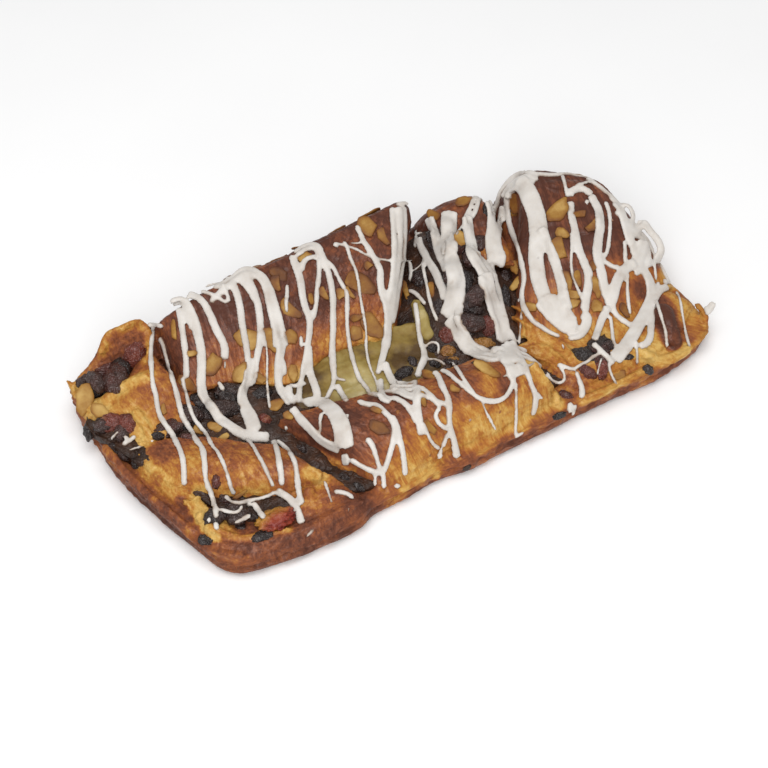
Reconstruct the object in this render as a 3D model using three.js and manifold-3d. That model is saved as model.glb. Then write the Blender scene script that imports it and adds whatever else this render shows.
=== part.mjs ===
// A danish pastry strip. One laminated dough sheet is slit along both long sides and its flaps are
// folded, chevron fashion, over a dark dried-fruit filling. A pool of custard lies in the open middle,
// flaked almonds are baked on, and white icing is drizzled across from side to side.
// Millimetres, +Z up. X runs along the strip and Y across it, from the near side to the far side.
// The origin is the middle of the flat underside.
import * as THREE from 'three';
import { mergeVertices } from 'three/addons/utils/BufferGeometryUtils.js';
import { ParametricGeometry } from 'three/addons/geometries/ParametricGeometry.js';
import Module from 'manifold-3d';

const wasm = await Module();
wasm.setup();

// Driving dimensions. Places on the strip are marked as a baker would mark the sheet: along it from
// the far-left tip, across it from the near slit, and up from the baking tray.
const STRIP = { left: -4, right: 283, near: -4, far: 144 };
const SHEET_THICKNESS = 11;
const CLEARANCE = 0.35; // between the dough and what it is folded over

const MIDDLE = { along: (STRIP.left + STRIP.right) / 2, across: (STRIP.near + STRIP.far) / 2 };
const place = (along, across, up = 0) =>
  new THREE.Vector3(along - MIDDLE.along, across - MIDDLE.across, up);

// The base sheet. Its outline is drawn through [along, across] marks, anticlockwise from the near-left
// corner; the near side is waisted where the wide slit opens.
const SHEET = {
  nearLeft: [[12, 18], [24, 8], [42, 0], [61, -3], [74, -1]],
  nearRight: [[84, 3], [98, 4], [122, 4], [150, 0], [180, -1], [215, -2], [240, STRIP.near], [264, -1]],
  rightEnd: [[277, 5], [STRIP.right, 15], [STRIP.right, 36], [281, 64], [276, 90]],
  farSide: [[266, 111], [250, 127], [228, 137], [190, 143], [120, STRIP.far], [50, 143.5], [14, 141]],
  leftEnd: [[2, 135], [-2, 112], [STRIP.left, 84], [-2, 58], [4, 33]],
  crustRadius: 4,
  crustSteps: 2,
};

// Each fold of dough is spanned by three lines: its foot on the sheet's rim, its crown, and the free
// lip that lies on the filling. A point is [along, across, up]. Its slope bulges more the higher the
// power of its fall, given at its left and right end.
const FOLDS = {
  farLeftRim: {
    foot: [[1, 138, 8], [24, 143, 8], [50, 143, 8]],
    crown: [[0, 135, 24], [20, 138, 28], [34, 139.5, 31], [48, 137, 34]],
    lip: [[5, 131, 19], [24, 133, 21], [46, 128, 26]],
  },
  leftRoll: {
    foot: [[0, 122, 14], [20, 124, 15], [44, 134, 22]],
    crown: [[0, 108, 19], [18, 107, 22], [42, 118, 31]],
    lip: [[3, 84, 15], [18, 83, 17], [46, 95, 20]],
  },
  farLeft: {
    foot: [[44, 143, 8], [117, 144, 8], [192, 142, 8]],
    crown: [[48, 136, 33], [78, 131.5, 43], [118, 129.5, 44.5], [156, 129.5, 45.5], [187, 125, 45]],
    lip: [[45, 102, 20], [68, 94, 19.5], [88, 81, 19], [112, 84, 22], [144, 76, 22]],
  },
  gapStrand: {
    foot: [[196, 141, 8], [208, 140, 8], [222, 137, 8]],
    crown: [[197, 122, 36], [208, 120, 38.5], [220, 117, 37]],
    lip: [[189, 90, 27], [196, 88, 28], [203, 87, 27]],
  },
  farRight: {
    foot: [[232, 134, 8], [258, 124, 8], [277, 101, 8]],
    crown: [[232, 112, 44.5], [248, 113, 44.5], [265, 105, 43.5], [281, 90, 42]],
    lip: [[200, 44, 21], [214, 34, 19.5], [240, 26, 18.5], [281, 28, 19]],
    fall: [1.2, 2.2],
  },
  nearLeftCrust: {
    foot: [[10, 24, 5], [26, 7, 4], [44, 0.5, 4], [62, -2, 4], [82, 2.5, 4]],
    crown: [[13, 28, 12], [29, 12, 13], [46, 6, 14], [62, 4, 15], [80, 7, 14]],
    lip: [[18, 33, 11.5], [34, 19, 12], [50, 13, 12], [64, 12, 12], [78, 12, 12]],
  },
  nearLeftLedge: {
    foot: [[-2, 84, 11], [1, 60, 11], [8, 40, 11], [18, 26, 11], [30, 18, 11], [50, 13, 11], [74, 11, 11]],
    crown: [[2, 86, 17], [5, 62, 18], [13, 44, 18], [22, 31, 18], [33, 23, 18], [52, 18, 18], [74, 15, 17]],
    lip: [[10, 86, 18], [15, 70, 19], [20, 57, 19], [28, 47, 19], [40, 40, 19], [56, 34, 19], [74, 26, 18]],
  },
  nearLeft: {
    foot: [[1, 70, 13], [13, 50, 14], [34, 35, 14], [56, 24, 14], [78, 16, 13]],
    crown: [[4, 74, 21], [18, 62, 24], [36, 48, 26.5], [54, 35, 27.5], [70, 25, 25.5]],
    lip: [[7, 87, 17], [22, 80, 19], [38, 70, 21], [52, 56, 22], [65, 46, 22.5]],
  },
  nearMiddle: {
    foot: [[87, 6, 7], [120, 5, 7], [150, 1.5, 7], [183, 1, 7]],
    crown: [[76, 36, 27], [100, 32, 31], [135, 27, 32], [170, 23, 31], [186, 21, 27]],
    lip: [[66, 62, 22], [94, 53, 25], [122, 43, 25.5], [156, 34, 25.5], [187, 34, 23]],
  },
  nearRight: {
    foot: [[197, 1, 6], [236, 1, 6], [262, 5, 6], [279, 20, 6]],
    crown: [[196, 17, 19], [226, 14, 18], [252, 14, 17], [278, 26, 17]],
    lip: [[194, 38, 19], [226, 30, 18], [254, 34, 18], [270, 46, 20]],
  },
};
const FOLD = {
  root: 4, // how far up its underside lies, inside the sheet
  lipEdge: 5, // thickness of dough that shows at the lip
  lipNose: 1.2, // how far that edge bulges
  lipTuck: 2.5, // how far it turns back underneath
  endRound: 9, // length over which the cut end rounds over
  endHeight: 0.62, // share of its height kept at the very end
  fall: [1.3, 1.3],
  archSteps: 3,
  fallSteps: 4,
  ringSpacing: 14,
};

// The fruit filling lies on the sheet and runs through the strip from end to end. It is thin under the
// folds, fuller in the open middle, and heaped up in the gap between the far folds.
const FILLING = {
  nearLine: [[-3.4, 66], [5, 42], [15, 28], [34, 18], [70, 14], [140, 14], [232, 12], [276, 20]],
  farLine: [[-3.4, 113], [5, 124], [15, 129], [34, 131], [70, 131], [140, 130], [232, 122], [276, 76]],
  rows: 15,
  columns: 7,
  bottom: SHEET_THICKNESS - 1.2,
  thin: 3.6,
  middle: { across: 72, spread: 22, rise: 2.2 },
  heap: { along: 192, across: 92, spreadAlong: 21, spreadAcross: 36, rise: 20, lean: 0.42 },
};

// The custard has set in a pool between the lips of the folds, a little rippled on top.
const CUSTARD = {
  nearLine: [[84, 66], [104, 53], [130, 44], [156, 42], [168, 50]],
  farLine: [[84, 80], [104, 84], [130, 85], [152, 80], [168, 70]],
  rows: 9,
  columns: 6,
  bottom: 12.5,
  edge: 15.5,
  crown: 18.5,
  swellAlong: [0.12, 0.88],
  ripple: { height: 0.5, along: 0.35, across: 0.5 },
};

// Raisins show in clusters. Each cluster fills an ellipse at [along, across], turned by its lean, and
// is piled in layers.
const RAISIN = { length: 14, breadth: 9.5, thickness: 8, stack: 0.75, rise: 0.2, sides: 6, bands: 4 };
const RAISIN_CLUSTERS = [
  { at: [17, 126], reach: [14, 4], lean: 0.15, count: 4, layers: 2 },
  { at: [8, 104], reach: [6, 6], lean: 0, count: 3, layers: 1 },
  { at: [24, 30], reach: [9, 4], lean: -0.4, count: 3, layers: 1 },
  { at: [20, 19], reach: [13, 2], lean: -0.5, count: 2, layers: 1 },
  { at: [50, 88], reach: [26, 6], lean: -0.45, count: 5, layers: 1 },
  { at: [192, 86], reach: [12, 34], lean: 0.42, count: 9, layers: 1 },
  { at: [217, 16], reach: [11, 5], lean: 0, count: 4, layers: 1 },
];

// One red fruit piece has come to the top at the near-left corner.
const RED_FRUIT = {
  at: [42, 15, 17],
  length: 19,
  breadth: 11,
  thickness: 9,
  turn: -0.12,
  sides: 9,
  bands: 6,
};

// Flaked almonds are strewn over the folds; each row is the fold and how many lie on it.
const ALMOND = { length: 14, breadth: 9.5, thickness: 2.2, sides: 6 };
const ALMONDS_ON_FOLDS = [
  ['farLeft', 16],
  ['farRight', 9],
  ['nearMiddle', 6],
  ['nearLeft', 3],
  ['leftRoll', 2],
];

// The icing is thrown across the strip in passes that lean with the chevrons. Each row is
// far end [along, across], near end [along, across] and the strand's width.
const ICING = { height: 0.62, rise: 0.2, taper: 0.55, step: 10, sides: 5, sway: 2.2 };
const ICING_PASSES = [
  [[44, 139], [14, 34], 2.6],
  [[52, 132], [22, 22], 2.6],
  [[62, 134], [40, 96], 3],
  [[64, 134], [52, 44], 3.6],
  [[92, 131], [66, 34], 3.6],
  [[98, 131], [76, 84], 3.2],
  [[102, 131], [88, 40], 5.2],
  [[122, 130], [92, 20], 3.4],
  [[128, 130], [100, 72], 3],
  [[148, 130], [122, 22], 2.4],
  [[162, 130], [134, 44], 3.4],
  [[176, 128], [136, 30], 5],
  [[184, 126], [146, 12], 3.4],
  [[196, 122], [166, 44], 4.2],
  [[206, 120], [172, 30], 5.4],
  [[218, 117], [180, 14], 4.6],
  [[240, 113], [206, 28], 6],
  [[252, 109], [222, 26], 3.4],
  [[262, 103], [228, 16], 4],
  [[270, 95], [238, 20], 3.6],
  [[273, 84], [248, 12], 3],
  [[273, 60], [262, 20], 2.6],
];

const COLOURS = { dough: 0xa8622c, fruit: 0x2c1a1c, custard: 0xc9b56c, redFruit: 0xb8452f };

// A seeded draw between 0 and 1, the same on every run.
function seededDraw(seed) {
  let state = seed;
  return () => {
    state = (state * 1664525 + 1013904223) % 4294967296;
    return state / 4294967296;
  };
}

// A smooth line through marked points.
const lineThrough = (marks) =>
  new THREE.CatmullRomCurve3(marks.map((m) => place(...m)), false, 'catmullrom', 0.5);

// A closed solid from a geometry, keeping only positions so that shared corners merge.
function solidOf(geometry) {
  const bare = new THREE.BufferGeometry();
  bare.setAttribute('position', geometry.getAttribute('position'));
  bare.setIndex(geometry.index);
  const merged = mergeVertices(bare, 1e-4);
  const corners = merged.index.array;
  const triVerts = [];
  for (let i = 0; i < corners.length; i += 3) {
    const [a, b, c] = [corners[i], corners[i + 1], corners[i + 2]];
    if (a !== b && b !== c && c !== a) triVerts.push(a, b, c);
  }
  const build = (order) =>
    new wasm.Manifold(
      new wasm.Mesh({
        numProp: 3,
        vertProperties: new Float32Array(merged.attributes.position.array),
        triVerts: new Uint32Array(order),
      }),
    );
  const made = build(triVerts);
  return made.volume() > 0 ? made : build(triVerts.reverse());
}

function geometryOf(solid) {
  const mesh = solid.getMesh();
  const geometry = new THREE.BufferGeometry();
  geometry.setAttribute('position', new THREE.BufferAttribute(mesh.vertProperties, 3));
  geometry.setIndex(new THREE.BufferAttribute(mesh.triVerts, 1));
  geometry.computeVertexNormals();
  return geometry;
}

const joined = (solids) => solids.reduce((whole, solid) => whole.add(solid));

// Cutting can leave loose crumbs: only the largest piece is kept.
const largestPiece = (solid) =>
  solid.decompose().reduce((best, piece) => (piece.volume() > best.volume() ? piece : best));

// A closed skin swept through a row of section outlines, each a ring of points, with its ends closed
// towards the middle of the first and last ring.
function sweptSolid(rings) {
  const around = rings[0].length;
  const middleOf = (ring) =>
    ring.reduce((sum, p) => sum.add(p), new THREE.Vector3()).divideScalar(ring.length);
  const first = middleOf(rings[0]);
  const last = middleOf(rings[rings.length - 1]);
  const stacks = rings.length + 1;
  const skin = (u, v, target) => {
    const row = Math.round(v * stacks);
    if (row === 0) return target.copy(first);
    if (row === stacks) return target.copy(last);
    return target.copy(rings[row - 1][Math.round(u * around) % around]);
  };
  return solidOf(new ParametricGeometry(skin, around, stacks));
}

// The base sheet

function sheetSolid() {
  const { nearLeft, nearRight, rightEnd, farSide, leftEnd, crustRadius } = SHEET;
  const marks = [nearLeft, nearRight, rightEnd, farSide, leftEnd].flat().map((mark) => place(...mark));
  const slab = new THREE.ExtrudeGeometry(new THREE.Shape(marks), {
    depth: SHEET_THICKNESS - 2 * crustRadius,
    bevelThickness: crustRadius,
    bevelSize: crustRadius,
    bevelOffset: -crustRadius,
    bevelSegments: SHEET.crustSteps,
  });
  slab.translate(0, 0, crustRadius);
  return solidOf(slab);
}

// The folds

// One section of a fold: up from the foot in an arch, down to the lip, under its edge and back.
function foldSection(foot, crown, lip, fall, heightShare) {
  const lower = (p) => p.setZ(FOLD.root + (p.z - FOLD.root) * heightShare);
  const points = [];
  for (let i = 0; i <= FOLD.archSteps; i++) {
    const angle = (i / FOLD.archSteps) * Math.PI / 2;
    const p = foot.clone().lerp(crown, 1 - Math.cos(angle));
    p.z = THREE.MathUtils.lerp(foot.z, crown.z, Math.sin(angle));
    points.push(lower(p));
  }
  for (let i = 1; i <= FOLD.fallSteps; i++) {
    const t = i / FOLD.fallSteps;
    const p = crown.clone().lerp(lip, t);
    p.z = THREE.MathUtils.lerp(crown.z, lip.z, t ** fall);
    points.push(lower(p));
  }
  const inward = crown.clone().sub(lip).setZ(0).normalize();
  const nose = lip.clone().addScaledVector(inward, -FOLD.lipNose);
  const tuck = lip.clone().addScaledVector(inward, FOLD.lipTuck);
  points.push(lower(nose.setZ(lip.z - FOLD.lipEdge / 2)));
  points.push(lower(tuck.clone().setZ(lip.z - FOLD.lipEdge)));
  points.push(tuck.setZ(FOLD.root));
  points.push(foot.clone().lerp(crown, 0.1).setZ(FOLD.root));
  return points;
}

function foldSolid({ foot, crown, lip, fall = FOLD.fall }) {
  const lines = [foot, crown, lip].map(lineThrough);
  const run = lines[1].getLength();
  const steps = Math.max(6, Math.round(run / FOLD.ringSpacing));
  const rings = [];
  for (let i = 0; i <= steps; i++) {
    const even = i / steps;
    const s = even - 0.06 * Math.sin(2 * Math.PI * even); // closer together towards the ends
    const rounding = Math.min(1, (Math.min(s, 1 - s) * run) / FOLD.endRound);
    const arc = Math.sqrt(1 - (1 - rounding) ** 2);
    const heightShare = THREE.MathUtils.lerp(FOLD.endHeight, 1, arc);
    const power = THREE.MathUtils.lerp(...fall, s);
    rings.push(foldSection(...lines.map((line) => line.getPoint(s)), power, heightShare));
  }
  return sweptSolid(rings);
}

// The filling, from its core and its raisins

// A layer fills the space between a near and a far line, up to a top that may vary. Grown, it is the
// room that its neighbours leave for it.
function layerSolid({ nearLine, farLine, rows, columns, bottom }, topAt, grown) {
  const nearEdge = lineThrough(nearLine);
  const farEdge = lineThrough(farLine);
  const rings = [];
  for (let i = 0; i <= rows; i++) {
    const lengthwise = i / rows;
    const outward = (2 * lengthwise - 1) * grown;
    const near = nearEdge.getPoint(lengthwise).add(new THREE.Vector3(outward, -grown, 0));
    const far = farEdge.getPoint(lengthwise).add(new THREE.Vector3(outward, grown, 0));
    const ring = [];
    for (let j = 0; j <= columns; j++) {
      const crosswise = j / columns;
      const p = near.clone().lerp(far, crosswise);
      ring.push(p.setZ(topAt(p, lengthwise, crosswise) + grown));
    }
    ring.push(far.setZ(bottom - grown), near.setZ(bottom - grown));
    rings.push(ring);
  }
  return sweptSolid(rings);
}

const bell = (distance, spread) => Math.exp(-((distance / spread) ** 2));

function fillingTop({ x, y }) {
  const { thin, middle, heap } = FILLING;
  const along = x + MIDDLE.along;
  const across = y + MIDDLE.across;
  const leaning = along - heap.along - heap.lean * (across - heap.across);
  const inMiddle = middle.rise * bell(across - middle.across, middle.spread);
  const inHeap = bell(leaning, heap.spreadAlong) * bell(across - heap.across, heap.spreadAcross);
  return SHEET_THICKNESS + thin + inMiddle + heap.rise * inHeap;
}

const fillingCore = (grown) => layerSolid(FILLING, fillingTop, grown);

// Raisins sit in a sunflower pattern inside each cluster, sunk in the filling or in the layer below.
function raisinPlaces() {
  const draw = seededDraw(7);
  const goldenAngle = Math.PI * (3 - Math.sqrt(5));
  const places = [];
  for (const { at, reach, lean, count, layers } of RAISIN_CLUSTERS) {
    for (let i = 0; i < count * layers; i++) {
      const inLayer = i % count;
      const layer = Math.floor(i / count);
      const radius = Math.sqrt((inLayer + 0.5) / count);
      const across = at[1] + reach[1] * radius * Math.sin(inLayer * goldenAngle);
      const along = at[0] + reach[0] * radius * Math.cos(inLayer * goldenAngle) + lean * (across - at[1]);
      const centre = place(along, across);
      centre.z = fillingTop(centre) + RAISIN.thickness * (RAISIN.rise + RAISIN.stack * layer);
      places.push({
        centre,
        size: 0.85 + 0.3 * draw(),
        turn: Math.PI * draw(),
        tip: 0.5 * (draw() - 0.5),
      });
    }
  }
  return places;
}

// A fruit piece is a plain ovoid of the given size, turned about Z and tipped lengthwise.
function fruitSolid({ length, breadth, thickness, sides, bands }, { centre, size, turn, tip }, grown) {
  const ball = new THREE.SphereGeometry(1, sides, bands);
  ball.rotateX(Math.PI / 2);
  ball.scale(...[length, breadth, thickness].map((extent) => (extent * size) / 2 + grown));
  ball.rotateY(tip);
  ball.rotateZ(turn);
  ball.translate(...centre);
  return solidOf(ball);
}

const raisinSolid = (raisin, grown) => fruitSolid(RAISIN, raisin, grown);

const redFruitSolid = (grown) =>
  fruitSolid(RED_FRUIT, { centre: place(...RED_FRUIT.at), size: 1, turn: RED_FRUIT.turn, tip: 0 }, grown);

// The custard pool

function custardTop({ x, y }, lengthwise, crosswise) {
  const { edge, crown, swellAlong, ripple } = CUSTARD;
  const swellLengthwise = Math.sin(Math.PI * THREE.MathUtils.lerp(...swellAlong, lengthwise));
  const swell = Math.sin(Math.PI * crosswise) * swellLengthwise;
  const wave = ripple.height * Math.sin(ripple.along * x + ripple.across * y);
  return edge + (crown - edge + wave) * swell;
}

const custardSolid = (grown) => layerSolid(CUSTARD, custardTop, grown);

// Toppings that lie on the baked surface

const SKY = 100;

// The height of the first surface met from above, or null off the edge.
function surfaceFinder(solids) {
  const meshes = solids.map((solid) => new THREE.Mesh(geometryOf(solid)));
  const ray = new THREE.Raycaster();
  const down = new THREE.Vector3(0, 0, -1);
  return (x, y) => {
    ray.set(new THREE.Vector3(x, y, SKY), down);
    const hit = ray.intersectObjects(meshes)[0];
    return hit ? hit.point.z : null;
  };
}

// An icing strand drapes over the surface, bridges what is narrow, and tapers at both ends.
function icingStrand([far, near, width], index, heightAt) {
  const from = place(...far);
  const to = place(...near);
  const steps = Math.max(4, Math.round(from.distanceTo(to) / ICING.step));
  const sideways = to.clone().sub(from).cross(new THREE.Vector3(0, 0, 1)).normalize();
  const path = [];
  for (let i = 0; i <= steps; i++) {
    const t = i / steps;
    const p = from.clone().lerp(to, t);
    p.addScaledVector(sideways, ICING.sway * Math.sin(2 * Math.PI * (t + 0.37 * index)));
    const around = [-0.3, 0, 0.3].map((reach) => from.clone().lerp(to, t + reach / steps));
    p.z = Math.max(...around.map(({ x, y }) => heightAt(x, y) ?? SHEET_THICKNESS));
    path.push(p);
  }
  const drape = (heights) =>
    heights.map((z, i) => Math.max(z, ((heights[i - 1] ?? z) + (heights[i + 1] ?? z)) / 2));
  const heights = drape(drape(path.map((p) => p.z)));
  const thickness = width * ICING.height;
  const rings = path.map((p, i) => {
    const taper = i === 0 || i === steps ? ICING.taper : 1;
    const ring = [];
    for (let k = 0; k < ICING.sides; k++) {
      const angle = (2 * Math.PI * k) / ICING.sides;
      const point = p.clone().addScaledVector(sideways, (width / 2) * taper * Math.cos(angle));
      point.z = heights[i] + ICING.rise * thickness + (thickness / 2) * taper * Math.sin(angle);
      ring.push(point);
    }
    return ring;
  });
  return sweptSolid(rings);
}

// An almond flake: a thin pointed lens, laid flat on the slope under it.
function almondSolid(spot, turn, size, heightAt) {
  const reach = 3;
  const heightNear = (dx, dy) => heightAt(spot.x + dx, spot.y + dy) ?? spot.z;
  const normal = new THREE.Vector3(
    heightNear(-reach, 0) - heightNear(reach, 0),
    heightNear(0, -reach) - heightNear(0, reach),
    2 * reach,
  ).normalize();
  const lens = new THREE.CylinderGeometry(0.5, 0.62, 1, ALMOND.sides, 1);
  lens.rotateX(Math.PI / 2);
  lens.scale(ALMOND.length * size, ALMOND.breadth * size, ALMOND.thickness);
  lens.rotateZ(turn);
  const laid = new THREE.Quaternion().setFromUnitVectors(new THREE.Vector3(0, 0, 1), normal);
  lens.applyQuaternion(laid);
  lens.translate(spot.x, spot.y, spot.z);
  return solidOf(lens);
}

function almondSolids(heightAt) {
  const draw = seededDraw(23);
  const goldenShare = (Math.sqrt(5) - 1) / 2;
  const flakes = [];
  for (const [name, count] of ALMONDS_ON_FOLDS) {
    const crown = lineThrough(FOLDS[name].crown);
    const lip = lineThrough(FOLDS[name].lip);
    for (let i = 0; i < count; i++) {
      const s = 0.08 + 0.84 * ((i * goldenShare + 0.2) % 1);
      const t = 0.06 + 0.86 * ((i + 0.5) / count);
      const spot = crown.getPoint(s).lerp(lip.getPoint(s), t);
      spot.z = heightAt(spot.x, spot.y);
      flakes.push(almondSolid(spot, 2 * Math.PI * draw(), 0.8 + 0.35 * draw(), heightAt));
    }
  }
  return flakes;
}

// Putting the strip together

const raisins = raisinPlaces();
const core = fillingCore(0);
const custard = custardSolid(0);
const fruitPieces = joined(raisins.map((raisin) => raisinSolid(raisin, 0)));
const bareDough = joined([sheetSolid(), ...Object.values(FOLDS).map(foldSolid)]);

const redFruit = redFruitSolid(0);
const heightAt = surfaceFinder([bareDough, core, custard, fruitPieces, redFruit]);
const icing = joined(ICING_PASSES.map((pass, i) => icingStrand(pass, i, heightAt)));
const almonds = joined(almondSolids(heightAt));

const roomForFruit = joined([
  fillingCore(CLEARANCE),
  ...raisins.map((raisin) => raisinSolid(raisin, CLEARANCE)),
]);
const roomForCustard = custardSolid(CLEARANCE);
const roomForRedFruit = redFruitSolid(CLEARANCE);
const roomForAll = joined([roomForFruit, roomForCustard, roomForRedFruit]);
const dough = largestPiece(joined([bareDough, almonds, icing]).subtract(roomForAll));
const filling = largestPiece(core.add(fruitPieces).subtract(roomForCustard.add(roomForRedFruit)));

const strip = new THREE.Group();
function addPiece(name, solid, color, roughness) {
  const material = new THREE.MeshStandardMaterial({ color, roughness, metalness: 0 });
  const mesh = new THREE.Mesh(geometryOf(solid), material);
  mesh.name = name;
  strip.add(mesh);
}
addPiece('pastry', dough, COLOURS.dough, 0.5);
addPiece('fruit_filling', filling, COLOURS.fruit, 0.45);
addPiece('custard', custard, COLOURS.custard, 0.35);
addPiece('red_fruit', redFruit, COLOURS.redFruit, 0.35);

export default strip;
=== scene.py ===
import math

import bmesh
import bpy
import numpy as np
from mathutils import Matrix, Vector, noise
from mathutils.bvhtree import BVHTree
from mathutils.kdtree import KDTree


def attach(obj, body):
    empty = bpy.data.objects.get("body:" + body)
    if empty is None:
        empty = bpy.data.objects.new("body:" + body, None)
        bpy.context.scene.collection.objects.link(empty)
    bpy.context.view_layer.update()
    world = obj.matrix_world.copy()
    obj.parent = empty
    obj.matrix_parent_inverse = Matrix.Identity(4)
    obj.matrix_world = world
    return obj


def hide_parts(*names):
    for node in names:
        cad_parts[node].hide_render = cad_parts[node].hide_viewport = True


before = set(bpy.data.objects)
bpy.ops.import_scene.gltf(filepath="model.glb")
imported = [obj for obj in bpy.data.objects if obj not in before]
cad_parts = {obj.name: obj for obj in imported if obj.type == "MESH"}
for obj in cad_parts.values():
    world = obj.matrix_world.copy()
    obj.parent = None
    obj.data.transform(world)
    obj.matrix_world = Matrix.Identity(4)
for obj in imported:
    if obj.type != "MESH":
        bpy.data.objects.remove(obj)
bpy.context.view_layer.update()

# The viewpoint, the table top and the light. The strip lies on a plain white table top and is seen
# from above its near-left corner, in even light from large white screens over and behind the viewer.
PICTURE_SIZE = 768
FOCAL_PIXELS = 2083
AIM_PIXEL = (384, 378)
AIM_POINT = Vector((-0.0045, 0.002, 0.0))
VIEW_AZIMUTH = math.radians(-34)
VIEW_ELEVATION = math.radians(47)
VIEW_DISTANCE = 1.0
SENSOR_WIDTH = 36.0

towards_viewer = Vector((
    math.sin(VIEW_AZIMUTH) * math.cos(VIEW_ELEVATION),
    -math.cos(VIEW_AZIMUTH) * math.cos(VIEW_ELEVATION),
    math.sin(VIEW_ELEVATION),
))
view_right = Vector((math.cos(VIEW_AZIMUTH), math.sin(VIEW_AZIMUTH), 0))
view_up = towards_viewer.cross(view_right)
eye = AIM_POINT + towards_viewer * VIEW_DISTANCE

camera_data = bpy.data.cameras.new("viewpoint")
camera_data.sensor_width = SENSOR_WIDTH
camera_data.lens = SENSOR_WIDTH * FOCAL_PIXELS / PICTURE_SIZE
camera_data.shift_y = (AIM_PIXEL[1] - PICTURE_SIZE / 2) / PICTURE_SIZE
camera = bpy.data.objects.new("viewpoint", camera_data)
camera.location = eye
camera.rotation_mode = "QUATERNION"
camera.rotation_quaternion = (-towards_viewer).to_track_quat("-Z", "Y")
bpy.context.scene.collection.objects.link(camera)
bpy.context.scene.camera = camera
bpy.context.scene.view_settings.view_transform = "Standard"


def sight_line(x, y):
    """The direction from the eye through a pixel of the picture."""
    sideways = view_right * ((x - AIM_PIXEL[0]) / FOCAL_PIXELS)
    upwards = view_up * ((AIM_PIXEL[1] - y) / FOCAL_PIXELS)
    return (sideways + upwards - towards_viewer).normalized()


def linear(red, green, blue):
    """A colour given in 0 to 255 display values, as the linear values that shaders take."""
    channels = [c / 255 for c in (red, green, blue)]
    return (*[c / 12.92 if c < 0.04045 else ((c + 0.055) / 1.055) ** 2.4 for c in channels], 1)


def put(tree, kind, inputs=None, **settings):
    """Adds a shader node; an input is either a value or another node's output."""
    made = tree.nodes.new(kind)
    for name, value in settings.items():
        setattr(made, name, value)
    for socket, value in (inputs or {}).items():
        if isinstance(value, bpy.types.NodeSocket):
            tree.links.new(value, made.inputs[socket])
        else:
            made.inputs[socket].default_value = value
    return made


def new_finish(name):
    """An empty material with one Principled shader, and its node tree."""
    material = bpy.data.materials.new(name)
    material.use_nodes = True
    tree = material.node_tree
    tree.nodes.clear()
    shader = put(tree, "ShaderNodeBsdfPrincipled")
    put(tree, "ShaderNodeOutputMaterial", {"Surface": shader.outputs["BSDF"]})
    return material, tree, shader


def tone_ramp(tree, value, stops):
    """Colours along a scale from 0 to 1; each stop is a position and a display colour."""
    ramp = put(tree, "ShaderNodeValToRGB", {"Fac": value})
    elements = ramp.color_ramp.elements
    while len(elements) < len(stops):
        elements.new(0.5)
    for element, (position, colour) in zip(elements, stops):
        element.position = position
        element.color = linear(*colour)
    return ramp.outputs["Color"]


def mesh_piece(name, points, faces):
    """A smooth-shaded object from an array of points and a list of faces."""
    mesh = bpy.data.meshes.new(name)
    mesh.from_pydata(np.asarray(points).tolist(), [], faces)
    mesh.shade_smooth()
    piece = bpy.data.objects.new(name, mesh)
    bpy.context.scene.collection.objects.link(piece)
    return piece


TABLE_HALF = 3.0
table_corners = [(-TABLE_HALF, -TABLE_HALF, 0), (TABLE_HALF, -TABLE_HALF, 0),
                 (TABLE_HALF, TABLE_HALF, 0), (-TABLE_HALF, TABLE_HALF, 0)]
table_top = mesh_piece("table_top", table_corners, [(0, 1, 2, 3)])
table_finish, tree, shader = new_finish("white_table")
table_speckle = put(tree, "ShaderNodeTexNoise", {"Scale": 40.0, "Detail": 3.0})
tree.links.new(
    tone_ramp(tree, table_speckle.outputs["Fac"], [(0.3, (249, 249, 249)), (0.7, (252, 252, 252))]),
    shader.inputs["Base Color"],
)
shader.inputs["Roughness"].default_value = 0.8
shader.inputs["Specular IOR Level"].default_value = 0.1
table_top.data.materials.append(table_finish)

SKY_STRENGTH = 0.4
world = bpy.data.worlds.new("white_room")
bpy.context.scene.world = world
world.use_nodes = True
world.node_tree.nodes["Background"].inputs["Color"].default_value = (1, 1, 1, 1)
world.node_tree.nodes["Background"].inputs["Strength"].default_value = SKY_STRENGTH

# Each screen: name, where it stands, its size and its power; all of them face the strip.
SCREENS = [
    ("screen_over", (-0.15, -0.1, 1.3), 1.1, 10.0),
    ("screen_viewer", (-0.75, -0.95, 0.9), 0.9, 10.0),
]
for name, spot, size, power in SCREENS:
    light_data = bpy.data.lights.new(name, "AREA")
    light_data.size = size
    light_data.energy = power
    screen = bpy.data.objects.new(name, light_data)
    screen.location = spot
    screen.rotation_mode = "QUATERNION"
    screen.rotation_quaternion = (-Vector(spot)).to_track_quat("-Z", "Y")
    bpy.context.scene.collection.objects.link(screen)

# The dough: one laminated, egg-washed sheet, slit along both long sides, with its flaps folded over
# the filling. It has risen and browned in the oven: mahogany on the crowns, golden down the slopes,
# pale at the lips and in the pockets. Places on it are millimetre marks: along, across and up.
MM = 0.001
STRIP_MIDDLE = np.array([139.5, 70.0, 0.0])
SHEET_THICKNESS = 11
CRUST_RADIUS = 4
SHEET_POINTS = 420
RIM_STEPS = 13
SHEET_OUTLINE = [
    (10, 14), (21, 5.5), (42, 1), (61, -0.5), (74, -0.5),
    (84, 2.5), (98, 2), (118, 3), (134, 0), (150, 0), (180, -1), (215, -2), (240, -4), (264, -1),
    (277, 5), (283, 15), (284, 36), (284, 64), (281, 88),
    (270, 110), (251, 127), (228, 137), (190, 143), (120, 144), (50, 143.5), (14, 141),
    (2, 135), (-1.5, 112), (-2.5, 84), (0, 58), (5, 33),
]

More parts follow.
